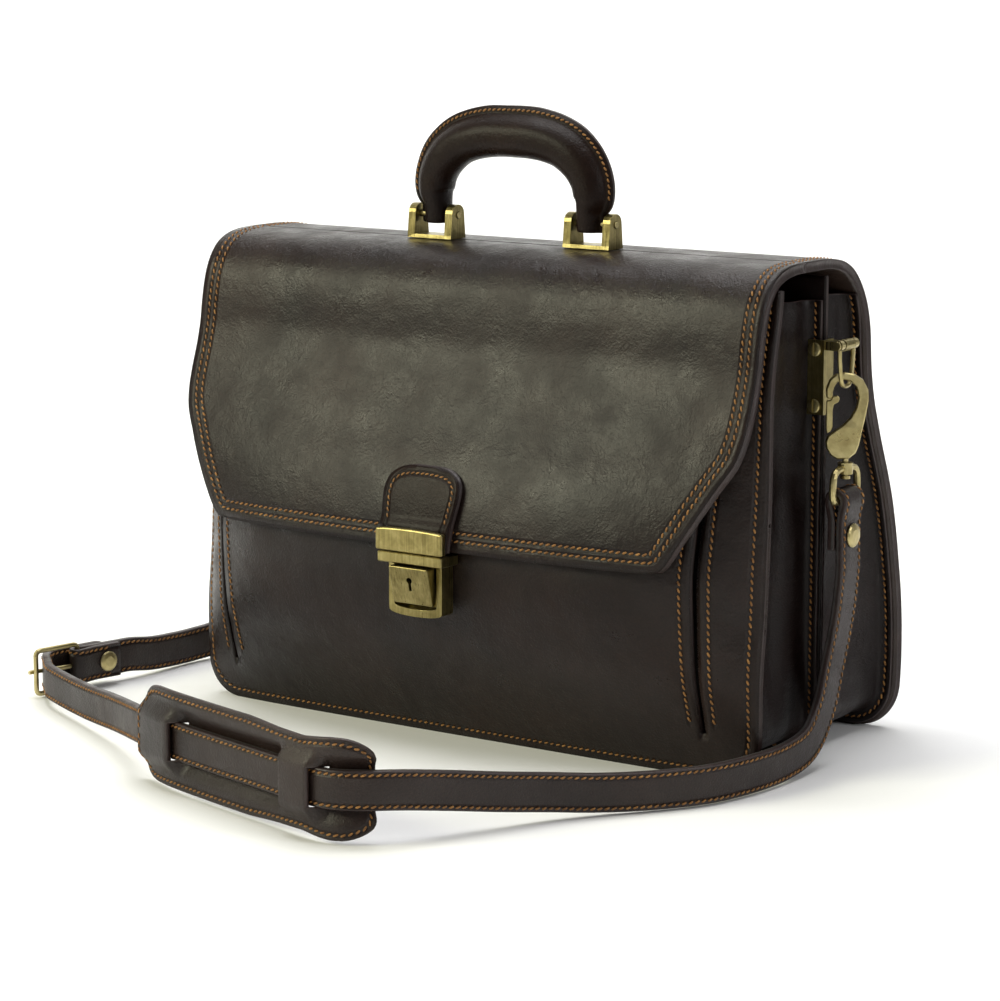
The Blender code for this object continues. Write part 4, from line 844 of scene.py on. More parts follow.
def gusset_sheet(name, front_surface, rear_surface, fold, dents, seed):
    """A gusset with its flanges, folded inwards in the middle, with soft dents."""
    t = GUSSET_THICKNESS
    path = u_path(5.0)
    along = directions(path)
    inward = np.column_stack([along[:, 1], -along[:, 0]])
    middle_rows = []
    for (x, z), (ux, uz) in zip(path, inward):
        def place(inset, y, ux=ux, uz=uz, x=x, z=z):
            return (x + ux * inset, y, max(z + uz * inset, 0.3))

        upright = ease((z - 2.0) / 60.0)
        yf = front_surface(x + ux * 5.0, z + uz * 5.0)
        yr = rear_surface(z + uz * 5.0)
        wide = yr - yf
        base = 9.6
        deep = base + fold * upright
        controls = [place(0.8, yf + t / 2.0), place(5.0, yf + t / 2.0), place(base - 1.2, yf + t / 2.0 + 0.9),
                    place(base + 0.7 + fold * upright * 0.22, yf + wide * 0.14),
                    place(base + fold * upright * 0.62, yf + wide * 0.32), place(deep, yf + wide * 0.5),
                    place(base + fold * upright * 0.62, yf + wide * 0.68),
                    place(base + 0.7 + fold * upright * 0.22, yf + wide * 0.86),
                    place(base - 1.2, yr - t / 2.0 - 0.9), place(5.0, yr - t / 2.0), place(0.8, yr - t / 2.0)]
        row = spline(controls, count=27)
        for k in range(len(row)):
            window = math.sin(math.pi * k / (len(row) - 1)) ** 2
            bump_in = 2.2 * noise.noise(Vector((row[k, 1] * 0.045, z * 0.022, seed + x * 0.003)))
            for dent_z, dent_y, reach_z, reach_y, depth, lean in dents:
                across = (row[k, 1] - dent_y - lean * (z - dent_z)) / reach_y
                up = (z - dent_z) / reach_z
                bump_in += depth * math.exp(-across * across - up * up)
            row[k, 0] += ux * bump_in * window * upright
            row[k, 2] = max(row[k, 2] + uz * bump_in * window * upright, 0.3)
        middle_rows.append(row)
    grid = np.array(middle_rows)
    d_along = np.gradient(grid, axis=0)
    d_across = np.gradient(grid, axis=1)
    normal = unit(np.cross(d_along, d_across))
    centre = np.array([0.0, grid[:, :, 1].mean(), 140.0])
    if ((grid - centre) * normal).sum() < 0.0:
        normal = -normal
    outer = grid + normal * t * 0.45
    inner = grid - normal * t * 0.45
    outer[:, :, 2] = np.maximum(outer[:, :, 2], 0.2)
    inner[:, :, 2] = np.maximum(inner[:, :, 2], 0.2)
    columns = np.arange(grid.shape[1])
    reach = np.full(grid.shape[:2], 9.0)
    for j in columns:
        steps = np.linalg.norm(grid[:, j] - grid[:, 0], axis=1)
        other = np.linalg.norm(grid[:, j] - grid[:, -1], axis=1)
        reach[:, j] = np.minimum(np.abs(steps - 4.2), np.abs(other - 4.2))
    made = sheet(name, outer, inner, [GUSSET, GUSSET, EDGE], seam=reach, round_off=0.6)
    return made, grid, normal


def behind_pocket(x, z):
    """Where the front gusset's front flange lies."""
    return pocket_y(x, max(z, 0.0)) + POCKET_WALL_THICKNESS + GAP


FRONT_DENTS = [(60.0, -38.0, 42.0, 12.0, 3.0, 0.05), (150.0, -30.0, 60.0, 12.0, 2.5, 0.0)]
REAR_DENTS = [(88.0, 38.0, 24.0, 15.0, 5.5, 0.35), (150.0, 30.0, 45.0, 9.0, 3.2, -0.12),
              (40.0, 60.0, 18.0, 12.0, -3.0, 0.0)]
front_gusset, front_grid_, front_normal_ = gusset_sheet(
    "front_gusset_soft", behind_pocket,
    lambda z: DIVIDER_Y - DIVIDER_THICKNESS / 2.0 - GAP, 4.0, FRONT_DENTS, 1.0)
rear_gusset, rear_grid_, rear_normal_ = gusset_sheet(
    "rear_gusset_soft", lambda x, z: DIVIDER_Y + DIVIDER_THICKNESS / 2.0 + GAP,
    lambda z: back_inner(max(z, 0.0)) - 2.0 * GAP, 9.0, REAR_DENTS, 5.0)
for obj, stands_for in ((front_gusset, "front_gusset"), (rear_gusset, "rear_gusset")):
    carry(obj, "case")
    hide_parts(stands_for)


def flange_row(grid, normal, from_end):
    """Stitch row on a gusset's flange, 4.2 mm from one of its long edges."""
    points = []
    normals = []
    for i in range(grid.shape[0]):
        row = grid[i] if not from_end else grid[i][::-1]
        facing = normal[i] if not from_end else normal[i][::-1]
        steps = np.concatenate([[0.0], np.cumsum(np.linalg.norm(np.diff(row, axis=0), axis=1))])
        at = 4.2
        points.append([float(np.interp(at, steps, row[:, k])) for k in range(3)])
        normals.append([float(np.interp(at, steps, facing[:, k])) for k in range(3)])
    points = np.array(points)
    normals = unit(np.array(normals))
    return points + normals * GUSSET_THICKNESS * 0.45, normals


gusset_thread = stitches("gusset_stitches", [flange_row(front_grid_, front_normal_, True),
                                             flange_row(rear_grid_, rear_normal_, True),
                                             flange_row(rear_grid_, rear_normal_, False)])
carry(gusset_thread, "case")


# Tab on the flap

def flap_face(x, z):
    """The flap's outer y near its middle."""
    s = float(np.interp(z, SHELL[:FLAP_END, 1], SHELL_S[:FLAP_END]))
    return shell_point(x, s)[1]


TAB_ROWS = [(121.5, 22.5), (128.0, 23.0), (135.0, 23.5), (145.0, 24.8), (153.0, 25.5), (159.0, 24.5),
            (163.0, 21.5), (166.0, 16.0)]
tab_rows = spline(TAB_ROWS + [(167.2, 9.0)], 1.1)
tab_shares = [-1.0, -0.95, -0.9, -0.84, -0.78, -0.7, -0.5, -0.25, 0.0, 0.25, 0.5, 0.7, 0.78, 0.84, 0.9,
              0.95, 1.0]
tab_outer = []
tab_inner = []
for z, half in tab_rows:
    back = flap_face(0.0, z) - GAP - 0.6
    front = back - 4.2 + 0.4 * ease((z - 150.0) / 20.0)
    if z < 140.0:
        front = min(front, -125.9) if z < 133.0 else front * ease((z - 133.0) / 7.0) \
            + min(front, -125.9) * (1.0 - ease((z - 133.0) / 7.0))
    tab_outer.append([(half * share, front + 0.8 * abs(share) ** 6, z) for share in tab_shares])
    tab_inner.append([(half * share, back, z) for share in tab_shares])
TAB_LINE = np.array([(half, z) for z, half in tab_rows] + [(4.0, 167.4), (0.0, 167.5)])
TAB_SEAM = resample(offset_line(TAB_LINE, 3.4), 1.0)
tab_flat = np.array([[(abs(p[0]), p[2]) for p in row] for row in tab_outer])
tab_reach = segment_distance(tab_flat.reshape(-1, 2), TAB_SEAM).reshape(tab_flat.shape[:2])
tab = sheet("tab_leather", tab_outer, tab_inner, [SMOOTH, LINING, EDGE], seam=tab_reach, round_off=1.2)
carry(tab, "flap")
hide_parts("lock_tab")
TAB_FACE = np.array([(row[0][2], row[8][1]) for row in tab_outer])


def tab_face(x, z):
    """The tab's outer y."""
    half = float(np.interp(z, tab_rows[:, 0], tab_rows[:, 1]))
    return float(np.interp(z, TAB_FACE[:, 0], TAB_FACE[:, 1])) + 0.8 * min(abs(x) / half, 1.0) ** 6


tab_kept = TAB_SEAM[TAB_SEAM[:, 1] > 135.5]
tab_path = np.vstack([tab_kept, tab_kept[::-1] * np.array([-1.0, 1.0])])
tab_points = [(x, tab_face(x, z), z) for x, z in tab_path]
tab_normals = [(0.0, -1.0, 0.12) for _ in tab_path]
tab_thread = stitches("tab_stitches", [(tab_points, tab_normals)], pitch=3.5, scale=0.86)
carry(tab_thread, "flap")

# Handle
HANDLE_Y = -24.0
ARCH = [(-56.5, 300.0, 9.4, 7.6), (-56.5, 307.0, 9.8, 8.4), (-56.8, 313.0, 9.9, 9.6),
        (-58.4, 320.5, 13.0, 11.2), (-56.8, 331.0, 14.0, 11.5), (-50.0, 342.0, 15.0, 12.0),
        (-38.0, 351.0, 15.4, 12.0), (-20.0, 356.0, 15.6, 12.0), (0.0, 357.0, 15.6, 12.0)]
ARCH += [(-x, z, a, b) for x, z, a, b in ARCH[-2::-1]]
GRIP_SECTION = [(15.0, 0.0), (14.85, 1.1), (14.1, 1.9), (12.4, 2.15), (10.9, 2.35), (9.5, 3.4), (8.2, 5.6),
                (5.4, 8.9), (1.4, 11.3), (-3.2, 12.0), (-7.6, 11.3), (-11.4, 8.8), (-14.1, 4.9), (-15.0, 0.0)]
GRIP_LOOP = GRIP_SECTION + [(r, -y) for r, y in GRIP_SECTION[-2:0:-1]]
arch = spline([(x, HANDLE_Y, z, a, b) for x, z, a, b in ARCH], 1.6)
arch_along = directions(arch[:, :3])
arch_across = unit(np.cross(arch_along, np.array([[0.0, 1.0, 0.0]])))
if arch_across[len(arch) // 2][2] < 0.0:
    arch_across = -arch_across
grip_verts = []
for i in range(len(arch)):
    x, y, z, a, b = arch[i]
    bulk = ease((z - 306.0) / 16.0)
    for r, w in GRIP_LOOP:
        squeeze = 1.0 + 0.014 * noise.noise(Vector((x * 0.09, w * 0.16, z * 0.09))) * bulk
        oval = (math.copysign(min(abs(w) * 1.05, 12.0), w))
        radial = r * a / 15.0 * squeeze
        side = oval * b / 12.0 * squeeze
        grip_verts.append(arch[i, :3] + arch_across[i] * radial + np.array([0.0, side, 0.0]))
count = len(GRIP_LOOP)
grip_faces = []
for i in range(len(arch) - 1):
    for k in range(count):
        m = (k + 1) % count
        grip_faces.append((i * count + k, i * count + m, (i + 1) * count + m, (i + 1) * count + k))
grip_faces.append(tuple(range(count))[::-1])
grip_faces.append(tuple((len(arch) - 1) * count + k for k in range(count)))
GRIP_SEAM_R = 12.3
ring_seam = [min(abs(r - GRIP_SEAM_R), 9.0) if r > 9.0 else 9.0 for r, w in GRIP_LOOP]
grip_seam = ring_seam * len(arch)
grip_edge = {len(GRIP_LOOP) - 1, 0}
round_faces = (len(arch) - 1) * count
grip_which = [int(n % count in grip_edge and n < round_faces) for n in range(len(grip_faces))]
grip = piece("grip_leather", grip_verts, grip_faces, [SMOOTH, EDGE], grip_which, grip_seam)
smoother = grip.modifiers.new("smooth", "SUBSURF")
smoother.levels = 1
smoother.render_levels = 1
carry(grip, "handle")
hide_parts("handle_grip")
grip_rows = []
inside = [i for i in range(len(arch)) if arch[i, 2] > 318.0]
for side in (1.0, -1.0):
    points = [arch[i, :3] + arch_across[i] * (GRIP_SEAM_R * arch[i, 3] / 15.0)
              + np.array([0.0, side * 2.3 * arch[i, 4] / 12.0, 0.0]) for i in inside]
    normals = [(0.0, side, 0.0) for _ in inside]
    grip_rows.append((points, normals))
grip_thread = stitches("grip_stitches", grip_rows, pitch=3.5)
carry(grip_thread, "handle")

# Shoulder strap
CLIP_X = 214.0
STRAP_WIDTH = 22.0
STRAP_THICKNESS = 5.0
BUCKLE_ORIGIN = np.array([-270.0, -118.0, 15.8])
BUCKLE_ALONG = unit(np.array([-0.2, -0.98, 0.0]))
BUCKLE_FACE = np.array([-BUCKLE_ALONG[1], BUCKLE_ALONG[0], 0.0])
ON_EDGE = (0.0, 0.0, -1.0)


def in_buckle(s, n, w=0.0):
    """A point of the buckle's frame: s from the hinge bar to the far bar, n across its face, w up."""
    return tuple(BUCKLE_ORIGIN + BUCKLE_ALONG * s + BUCKLE_FACE * n + np.array([0.0, 0.0, w]))


def fold_rows(side):
    """The strap's end from its folded tip, over the swivel eye's lower bar and down beside itself."""
    near = STRAP_THICKNESS / 2.0 + 0.2
    rows = [(CLIP_X - near, 126.0), (CLIP_X - near, 134.0), (CLIP_X - near, 142.0), (CLIP_X - 3.6, 148.0),
            (CLIP_X - 4.9, 153.0)]
    for k in range(1, 8):
        a = math.pi * k / 8.0
        rows.append((CLIP_X - 5.0 * math.cos(a), 154.4 + 5.0 * math.sin(a)))
    rows += [(CLIP_X + 4.9, 153.0), (CLIP_X + 3.6, 148.0), (CLIP_X + near, 142.0), (CLIP_X + near, 134.0),
             (CLIP_X + near, 124.0)]
    return [(side * x, 0.0, z, 0.0, 1.0, 0.0, STRAP_WIDTH / 2.0, STRAP_THICKNESS / 2.0) for x, z in rows]


LONG_RUN = [(216.7, 0.0, 112.0, 0.0, 1.0, 0.0), (214.2, -1.0, 85.0, 0.0, 1.0, -0.05),
            (211.0, -5.0, 58.0, 0.0, 1.0, -0.2), (210.5, -14.0, 34.0, 0.0, 0.85, -0.45),
            (211.5, -32.0, 17.5, 0.0, 0.5, -0.8), (211.5, -58.0, 12.4, 0.0, 0.1, -0.97),
            (209.0, -90.0, 11.6, *ON_EDGE), (200.0, -124.0, 11.5, *ON_EDGE), (182.0, -153.0, 11.6, *ON_EDGE),
            (163.0, -177.0, 12.6, *ON_EDGE), (147.0, -200.0, 15.5, *ON_EDGE), (133.0, -227.0, 19.5, *ON_EDGE),
            (119.0, -256.0, 24.5, *ON_EDGE), (107.0, -279.0, 28.0, *ON_EDGE), (95.0, -295.0, 29.4, *ON_EDGE),
            (79.0, -304.0, 29.6, *ON_EDGE), (60.0, -303.0, 29.6, *ON_EDGE), (20.0, -292.5, 29.6, *ON_EDGE),
            (-20.0, -282.0, 29.6, *ON_EDGE), (-60.0, -270.0, 29.4, *ON_EDGE), (-91.0, -255.0, 28.0, *ON_EDGE),
            (-148.0, -217.0, 21.0, *ON_EDGE), (-200.0, -189.0, 16.6, *ON_EDGE)]
STRAP_IN_BUCKLE = [(41.0, 30.0), (34.5, 16.5), (28.5, 7.0), (24.6, 0.5), (20.0, -4.8), (12.5, -8.0),
                   (2.0, -8.8), (-10.0, -8.7), (-20.0, -8.7), (-32.0, -8.7)]
LONG_RUN += [(*in_buckle(s, n), *ON_EDGE) for s, n in STRAP_IN_BUCKLE]
SHORT_RUN = [(-216.7, 0.0, 112.0, 0.0, 1.0, 0.0), (-218.0, 2.0, 88.0, 0.0, 1.0, 0.0),
             (-221.0, 8.0, 62.0, 0.0, 1.0, -0.1), (-230.0, 17.0, 40.0, 0.0, 1.0, -0.5),
             (-246.0, 18.0, 22.0, 0.0, 0.6, -0.8), (-257.0, 4.0, 14.0, *ON_EDGE),
             (-261.5, -14.0, 11.9, *ON_EDGE), (-262.3, -34.0, 12.0, *ON_EDGE),
             (-262.8, -56.0, 13.2, *ON_EDGE)]
for s, n in ((-44.0, -2.6), (-34.0, -3.1)):
    SHORT_RUN.append((*in_buckle(s, n), *ON_EDGE))


def with_size(rows):
    """Strap rows with the usual half width and half thickness added."""
    return [(*row, STRAP_WIDTH / 2.0, STRAP_THICKNESS / 2.0) for row in rows]


long_rows = fold_rows(1.0) + with_size(LONG_RUN)
short_rows = fold_rows(-1.0) + with_size(SHORT_RUN)
for s, n, thick in ((-24.0, -3.25, 2.5), (-14.0, -3.25, 2.5), (-8.0, -3.5, 2.0), (-3.5, -3.75, 1.5)):
    short_rows.append((*in_buckle(s, n), *ON_EDGE, STRAP_WIDTH / 2.0, thick))
for k in range(0, 9):
    a = math.pi * k / 8.0
    short_rows.append((*in_buckle(3.8 * math.sin(a), -3.8 * math.cos(a)), *ON_EDGE, STRAP_WIDTH / 2.0, 1.5))
for s, n, thick in ((-3.5, 3.75, 1.5), (-8.0, 2.6, 1.7), (-14.0, 1.65, 2.0), (-24.0, 1.65, 2.0),
                    (-31.0, 1.65, 2.0)):
    short_rows.append((*in_buckle(s, n), *ON_EDGE, STRAP_WIDTH / 2.0, thick))

# Cross-section of the strap, as shares of half width and half thickness, and whether each side is edge
STRAP_SECTION = [(0.0, 1.0, 0), (0.35, 1.0, 0), (0.62, 0.985, 0), (0.72, 0.93, 0), (0.78, 0.91, 0),
                 (0.84, 0.94, 0), (0.91, 0.97, 0), (0.955, 0.86, 1), (0.99, 0.6, 1), (0.975, 0.14, 2),
                 (0.975, -0.14, 1), (0.99, -0.6, 1), (0.955, -0.86, 1), (0.91, -0.97, 0), (0.84, -0.94, 0),
                 (0.78, -0.91, 0), (0.72, -0.93, 0), (0.62, -0.985, 0), (0.35, -1.0, 0)]
STRAP_LOOP = STRAP_SECTION + [(0.0, -1.0, 0)]
for u, v, kind in STRAP_SECTION[:0:-1]:
    STRAP_LOOP.append((-u, v, kind))
STRAP_SEAM = 0.78
SPINE = painted_edge("edge_core", (0.052, 0.047, 0.045))


def strap(name, rows, taper):
    """A strap along rows of x, y, z, width direction, half width, half thickness, and its two stitch rows."""
    even = spline(rows, 2.4)
    centres = even[:, :3]
    along = directions(centres)
    widths = unit(even[:, 3:6])
    normals = unit(np.cross(widths, along))
    across = unit(np.cross(along, normals))
    lengths = np.concatenate([[0.0], np.cumsum(np.linalg.norm(np.diff(centres, axis=0), axis=1))])
    verts = []
    seams = []
    for i in range(len(even)):
        half = even[i, 6]
        if taper:
            left = lengths[-1] - lengths[i]
            half *= math.sqrt(max(1.0 - (max(11.0 - left, 0.0) / 11.0) ** 2, 0.02))
        thick = even[i, 7]
        for u, v, _ in STRAP_LOOP:
            verts.append(centres[i] + across[i] * (u * half) + normals[i] * (v * thick))
            seams.append(abs(abs(u) - STRAP_SEAM) * 11.0)
    count = len(STRAP_LOOP)
    kinds = [STRAP_LOOP[k][2] if STRAP_LOOP[k][2] == STRAP_LOOP[(k + 1) % count][2] or STRAP_LOOP[k][2] == 2
             else max(min(STRAP_LOOP[k][2], 1), min(STRAP_LOOP[(k + 1) % count][2], 1)) for k in range(count)]
    faces = []
    which = []
    for i in range(len(even) - 1):
        for k in range(count):
            m = (k + 1) % count
            faces.append((i * count + k, i * count + m, (i + 1) * count + m, (i + 1) * count + k))
            which.append(kinds[k])
    faces.append(tuple(range(count))[::-1])
    faces.append(tuple((len(even) - 1) * count + k for k in range(count)))
    which += [1, 1]
    made = piece(name, verts, faces, [STRAP, EDGE, SPINE], which, seams)
    bm = bmesh.new()
    bm.from_mesh(made.data)
    bmesh.ops.recalc_face_normals(bm, faces=bm.faces[:])
    bm.to_mesh(made.data)
    bm.free()
    stitched = []
    last = np.searchsorted(lengths, lengths[-1] - 6.0)
    first = np.searchsorted(lengths, 3.0)
    for face in (1.0, -1.0):
        for side in (1.0, -1.0):
            points = [centres[i] + across[i] * (side * STRAP_SEAM * even[i, 6])
                      + normals[i] * (face * 0.93 * even[i, 7]) for i in range(first, last)]
            stitched.append((points, [normals[i] * face for i in range(first, last)]))
    return made, stitches(name + "_stitches", stitched), centres


long_strap, long_thread, long_centres = strap("long_strap", long_rows, True)
short_strap, short_thread, short_centres = strap("short_strap", short_rows, False)
for obj in (long_strap, long_thread, short_strap, short_thread):
    carry(obj, "case")
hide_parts("strap_long")
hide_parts("strap_short")

# Shoulder pad, threaded on the strap through three slots
PAD_HALF_THICKNESS = 1.6
PAD_STEP_OUT = STRAP_THICKNESS / 2.0 + 1.3 + PAD_HALF_THICKNESS
PAD_START = -92.0
PAD_LENGTH = 203.0
PAD_ENDS = [(0.0, 16.0), (1.0, 19.0), (3.0, 22.6), (6.0, 25.0), (10.0, 26.8), (16.0, 27.8), (24.0, 28.0),
            (110.0, 28.0), (136.0, 26.4), (158.0, 26.0), (168.0, 27.2), (178.0, 28.2), (186.0, 28.0),
            (192.0, 26.4), (197.0, 24.0), (200.5, 21.4), (202.0, 19.0), (203.0, 16.0)]
PAD_SIDES = [(0.0, 1.0), (39.0, 1.0), (45.0, -1.0), (137.0, -1.0), (144.0, 1.0), (167.0, 1.0), (174.0, -1.0),
             (203.0, -1.0)]
PAD_SLOTS = [(39.0, 45.0), (137.0, 144.0), (167.0, 174.0)]
pad_path = spline([p[:3] for p in LONG_RUN[:23]], 0.8)[::-1]
pad_lengths = np.concatenate([[0.0], np.cumsum(np.linalg.norm(np.diff(pad_path, axis=0), axis=1))])
pad_first = int(np.argmin(np.abs(pad_path[:, 0] - PAD_START) + np.abs(pad_path[:, 1] + 252.0) * 0.2))
PAD_STATIONS = [0.0, 0.5, 1.2, 2.2, 3.6, 5.4, 7.6, 10.5, 14.0, 18.0, 23.0, 28.5, 34.0, 39.0, 42.0, 45.0,
                49.0]
PAD_STATIONS += list(np.arange(55.0, 128.0, 6.0))
PAD_STATIONS += [132.0, 137.0, 140.5, 144.0, 146.5, 149.5, 152.5, 155.5, 158.5, 161.5, 164.5, 167.0, 170.5,
                 174.0, 177.0, 180.5, 184.0, 187.5, 190.5, 193.2, 195.6, 197.6, 199.4,
                 200.8, 201.8, 202.5, 203.0]
PAD_ACROSS = [-1.0, -0.955, -0.91, -0.86, -0.8, -0.72, -0.62, -0.5, -0.38, -0.33, -0.2, 0.0, 0.2, 0.33, 0.38,
              0.5, 0.62, 0.72, 0.8, 0.86, 0.91, 0.955, 1.0]
pad_outer = []
pad_inner = []
pad_flat = []
for station in PAD_STATIONS:
    at = pad_lengths[pad_first] + station
    point = np.array([np.interp(at, pad_lengths, pad_path[:, k]) for k in range(3)])
    ahead = np.array([np.interp(at + 1.0, pad_lengths, pad_path[:, k]) for k in range(3)])
    along = unit(ahead - point)
    facing = unit(np.array([along[1], -along[0], 0.0]))
    half = between(PAD_ENDS, station)
    sign = between(PAD_SIDES, station)
    outer_row = []
    inner_row = []
    flat_row = []
    for share in PAD_ACROSS:
        offset = share * 28.0 if abs(share) <= 0.38 else math.copysign(
            10.64 + (abs(share) - 0.38) / 0.62 * (half - 10.64), share)
        band = 1.0 - ease((abs(offset) - 11.0) / 9.5)
        rise = sign * band * PAD_STEP_OUT
        place = point + np.array([0.0, 0.0, offset]) + facing * rise
        outer_row.append(place + facing * PAD_HALF_THICKNESS)
        inner_row.append(place - facing * PAD_HALF_THICKNESS)
        flat_row.append((station, offset))
    pad_outer.append(outer_row)
    pad_inner.append(inner_row)
    pad_flat.append(flat_row)
pad_flat = np.array(pad_flat)
pad_outer = np.array(pad_outer)
pad_inner = np.array(pad_inner)
PAD_TURNS = [np.linspace(0.0, 14.0, 24), np.linspace(16.0, 180.0, 46), np.linspace(182.0, PAD_LENGTH, 26)]
pad_half_line = [(s, between(PAD_ENDS, s)) for s in np.concatenate(PAD_TURNS)]
PAD_LOOP = np.array([(0.0, 0.0), (0.0, 9.0)] + pad_half_line + [(PAD_LENGTH, 9.0), (PAD_LENGTH, 0.0)])[::-1]
pad_line = resample(offset_line(PAD_LOOP, 3.4), 1.2)
pad_reach = segment_distance(np.abs(pad_flat.reshape(-1, 2)), pad_line).reshape(pad_flat.shape[:2])


def in_slot(i, j):
    """Whether this cell of the pad is one of its slots."""
    middle = (PAD_STATIONS[i] + PAD_STATIONS[i + 1]) / 2.0
    return abs(PAD_ACROSS[j] + PAD_ACROSS[j + 1]) / 2.0 < 0.37 and any(a < middle < b for a, b in PAD_SLOTS)


pad = sheet("pad_leather", pad_outer, pad_inner, [STRAP, STRAP, EDGE], skip=in_slot, seam=pad_reach,
            round_off=0.8)
carry(pad, "shoulder_pad")
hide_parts("shoulder_pad")


def on_pad(station, offset, face):
    """A point of the pad's face and its normal, by linear steps of the grid."""
    i = min(max(bisect.bisect_right(PAD_STATIONS, station) - 1, 0), len(PAD_STATIONS) - 2)
    u = (station - PAD_STATIONS[i]) / (PAD_STATIONS[i + 1] - PAD_STATIONS[i])
    grid = pad_outer if face > 0 else pad_inner
    offsets = pad_flat[i, :, 1] * (1.0 - u) + pad_flat[i + 1, :, 1] * u
    row = grid[i] * (1.0 - u) + grid[i + 1] * u
    other = (pad_inner if face > 0 else pad_outer)
    back = other[i] * (1.0 - u) + other[i + 1] * u
    place = np.array([np.interp(offset, offsets, row[:, k]) for k in range(3)])
    behind = np.array([np.interp(offset, offsets, back[:, k]) for k in range(3)])
    return place, unit(place - behind)


pad_rows = []
for face in (1.0, -1.0):
    for side in (1.0, -1.0):
        made = [on_pad(min(max(s, 0.0), PAD_LENGTH), side * w, face) for s, w in pad_line]
        pad_rows.append(([m[0] for m in made], [m[1] for m in made]))
pad_thread = stitches("pad_stitches", pad_rows)
carry(pad_thread, "shoulder_pad")


# Metal: the frame's own pieces with softened edges and brass

def dress(names, made, width):
    """Gives frame pieces their material, and small rounded edges."""
    for name in names:
        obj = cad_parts[name]
        obj.data.materials.clear()
        obj.data.materials.append(made)
        weld = obj.modifiers.new("weld", "WELD")
        weld.merge_threshold = 0.00001
        if width:
            soft = obj.modifiers.new("bevel", "BEVEL")
            soft.width = width * MM
            soft.segments = 2
            soft.limit_method = "ANGLE"
            soft.angle_limit = math.radians(32.0)
            soft.harden_normals = False


dress(["hasp", "lock_body", "press_plate", "side_bracket_left", "side_bracket_right", "handle_bracket_left",
       "handle_bracket_right"], BRASS, 0.35)
dress(["key_lever"], BRASS, 0.0)
dress(["handle_pin_left", "handle_pin_right", "ring_pin_left", "ring_pin_right", "strap_rivet_left",
       "strap_rivet_right", "strap_rivet_buckle", "buckle_frame", "buckle_prong", "bracket_screw_upper_left",
       "bracket_screw_upper_right", "bracket_screw_lower_left", "bracket_screw_lower_right"], BRIGHT, 0.2)
dress(["ring_left", "ring_right", "hook_left", "hook_right", "hook_gate_left", "hook_gate_right",
       "swivel_eye_left", "swivel_eye_right"], BRIGHT, 0.45)
dress(["top_stiffener"], STIFFENER, 0.3)


# Studio

def area(name, place, target, size, power, colour=(1.0, 1.0, 1.0)):
    """A soft rectangular light."""
    light = bpy.data.lights.new(name, "AREA")
    light.shape = "RECTANGLE"
    light.size = size[0]
    light.size_y = size[1]
    light.energy = power
    light.color = colour
    obj = bpy.data.objects.new(name, light)
    bpy.context.scene.collection.objects.link(obj)
    obj.location = place
    obj.rotation_mode = "QUATERNION"
    obj.rotation_quaternion = (Vector(target) - Vector(place)).to_track_quat("-Z", "Y")
    return obj


SWEEP_HALF = 5.0
SWEEP_FRONT = -4.0
SWEEP_BACK = 1.6
SWEEP_RADIUS = 1.1
SWEEP_TOP = 4.0
FLOOR_DROP = 0.0006
VIEW_AZ = math.radians(34.99)
away = Vector((-math.sin(VIEW_AZ), math.cos(VIEW_AZ), 0.0))
beside = Vector((math.cos(VIEW_AZ), math.sin(VIEW_AZ), 0.0))
sweep = [(SWEEP_FRONT, 0.0)]
for k in range(17):
    a = math.pi / 2.0 * k / 16.0
    sweep.append((SWEEP_BACK + SWEEP_RADIUS * math.sin(a), SWEEP_RADIUS - SWEEP_RADIUS * math.cos(a)))
sweep.append((SWEEP_BACK + SWEEP_RADIUS, SWEEP_TOP))
floor_points = []
for reach, height in sweep:
    for side in (-1.0, 1.0):
        rise = Vector((0.0, 0.0, height - FLOOR_DROP))
        floor_points.append(tuple(away * reach + beside * (side * SWEEP_HALF) + rise))
floor_mesh = bpy.data.meshes.new("floor")
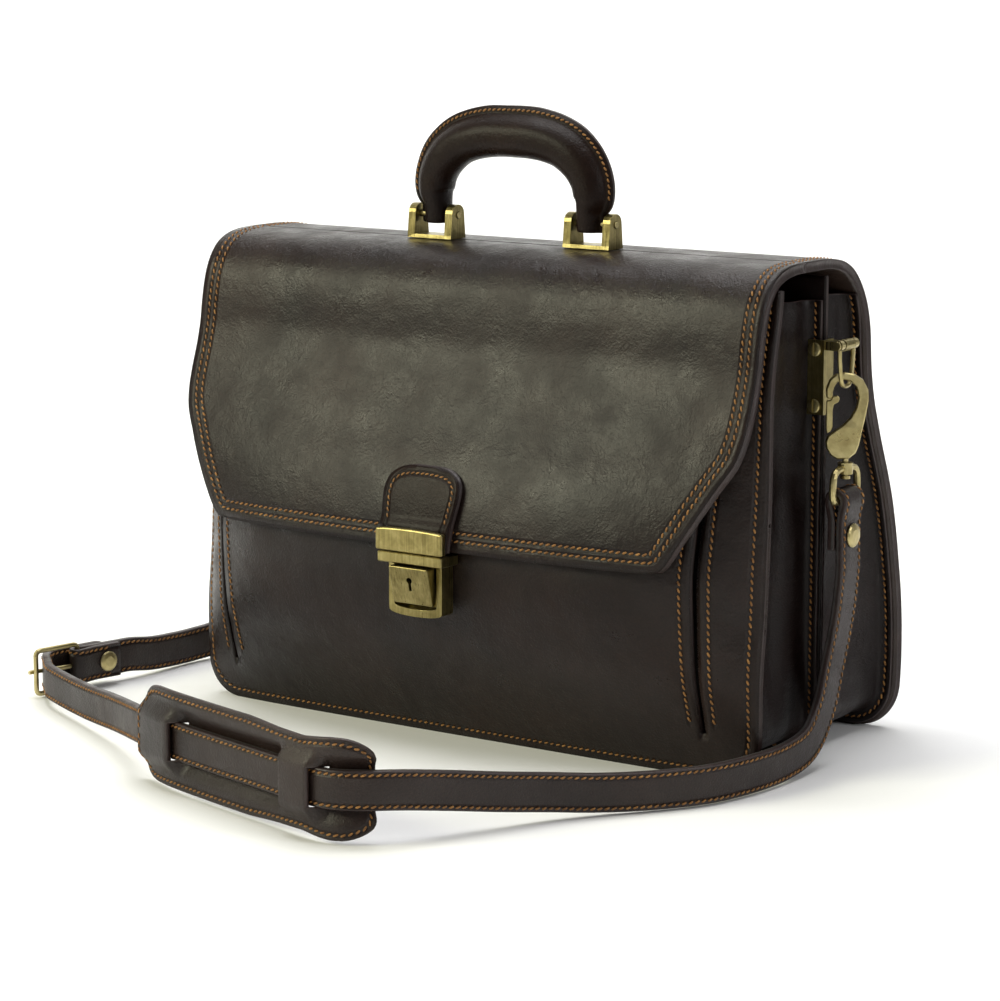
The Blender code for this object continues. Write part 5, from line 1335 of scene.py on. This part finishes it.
floor_faces = [(2 * k, 2 * k + 1, 2 * k + 3, 2 * k + 2) for k in range(len(sweep) - 1)]
floor_mesh.from_pydata(floor_points, [], floor_faces)
floor_mesh.shade_smooth()
floor = bpy.data.objects.new("floor", floor_mesh)
bpy.context.scene.collection.objects.link(floor)
floor_look, _, floor_shader, _ = material("pale_floor")
floor_shader.inputs["Base Color"].default_value = (0.9, 0.9, 0.9, 1.0)
floor_shader.inputs["Roughness"].default_value = 0.8
floor_shader.inputs["Specular IOR Level"].default_value = 0.1
floor_mesh.materials.append(floor_look)

world = bpy.data.worlds.new("studio")
bpy.context.scene.world = world
world.use_nodes = True
world.node_tree.nodes["Background"].inputs["Color"].default_value = (1.0, 1.0, 1.0, 1.0)
world.node_tree.nodes["Background"].inputs["Strength"].default_value = 0.2
area("key", (-1.5, -2.1, 1.5), (0.0, 0.0, 0.17), (1.3, 1.0), 57.0, (1.0, 0.99, 0.74))
area("side", (2.4, 0.2, 1.1), (0.0, 0.0, 0.12), (0.7, 1.2), 14.0)
area("overhead", (-0.2, 0.5, 2.7), (-0.2, 0.5, 0.0), (2.4, 2.4), 52.0)
area("backdrop", (-0.2, 0.2, 2.4), (-1.8, 2.6, 0.9), (2.0, 1.0), 46.0)

camera = bpy.data.cameras.new("camera")
camera.lens = 118.76
camera.sensor_width = 36.0
camera_obj = bpy.data.objects.new("camera", camera)
bpy.context.scene.collection.objects.link(camera_obj)
CAMERA_AZ = math.radians(34.99)
CAMERA_EL = math.radians(10.05)
CAMERA_DISTANCE = 2.0119
CAMERA_TARGET = Vector((-0.0177, -0.0125, 0.1319))
camera_back = Vector((math.sin(CAMERA_AZ) * math.cos(CAMERA_EL), -math.cos(CAMERA_AZ) * math.cos(CAMERA_EL),
                      math.sin(CAMERA_EL)))
camera_obj.location = CAMERA_TARGET + camera_back * CAMERA_DISTANCE
camera_obj.rotation_mode = "QUATERNION"
camera_obj.rotation_quaternion = (-camera_back).to_track_quat("-Z", "Y")
bpy.context.scene.camera = camera_obj
bpy.context.scene.view_settings.view_transform = "Standard"
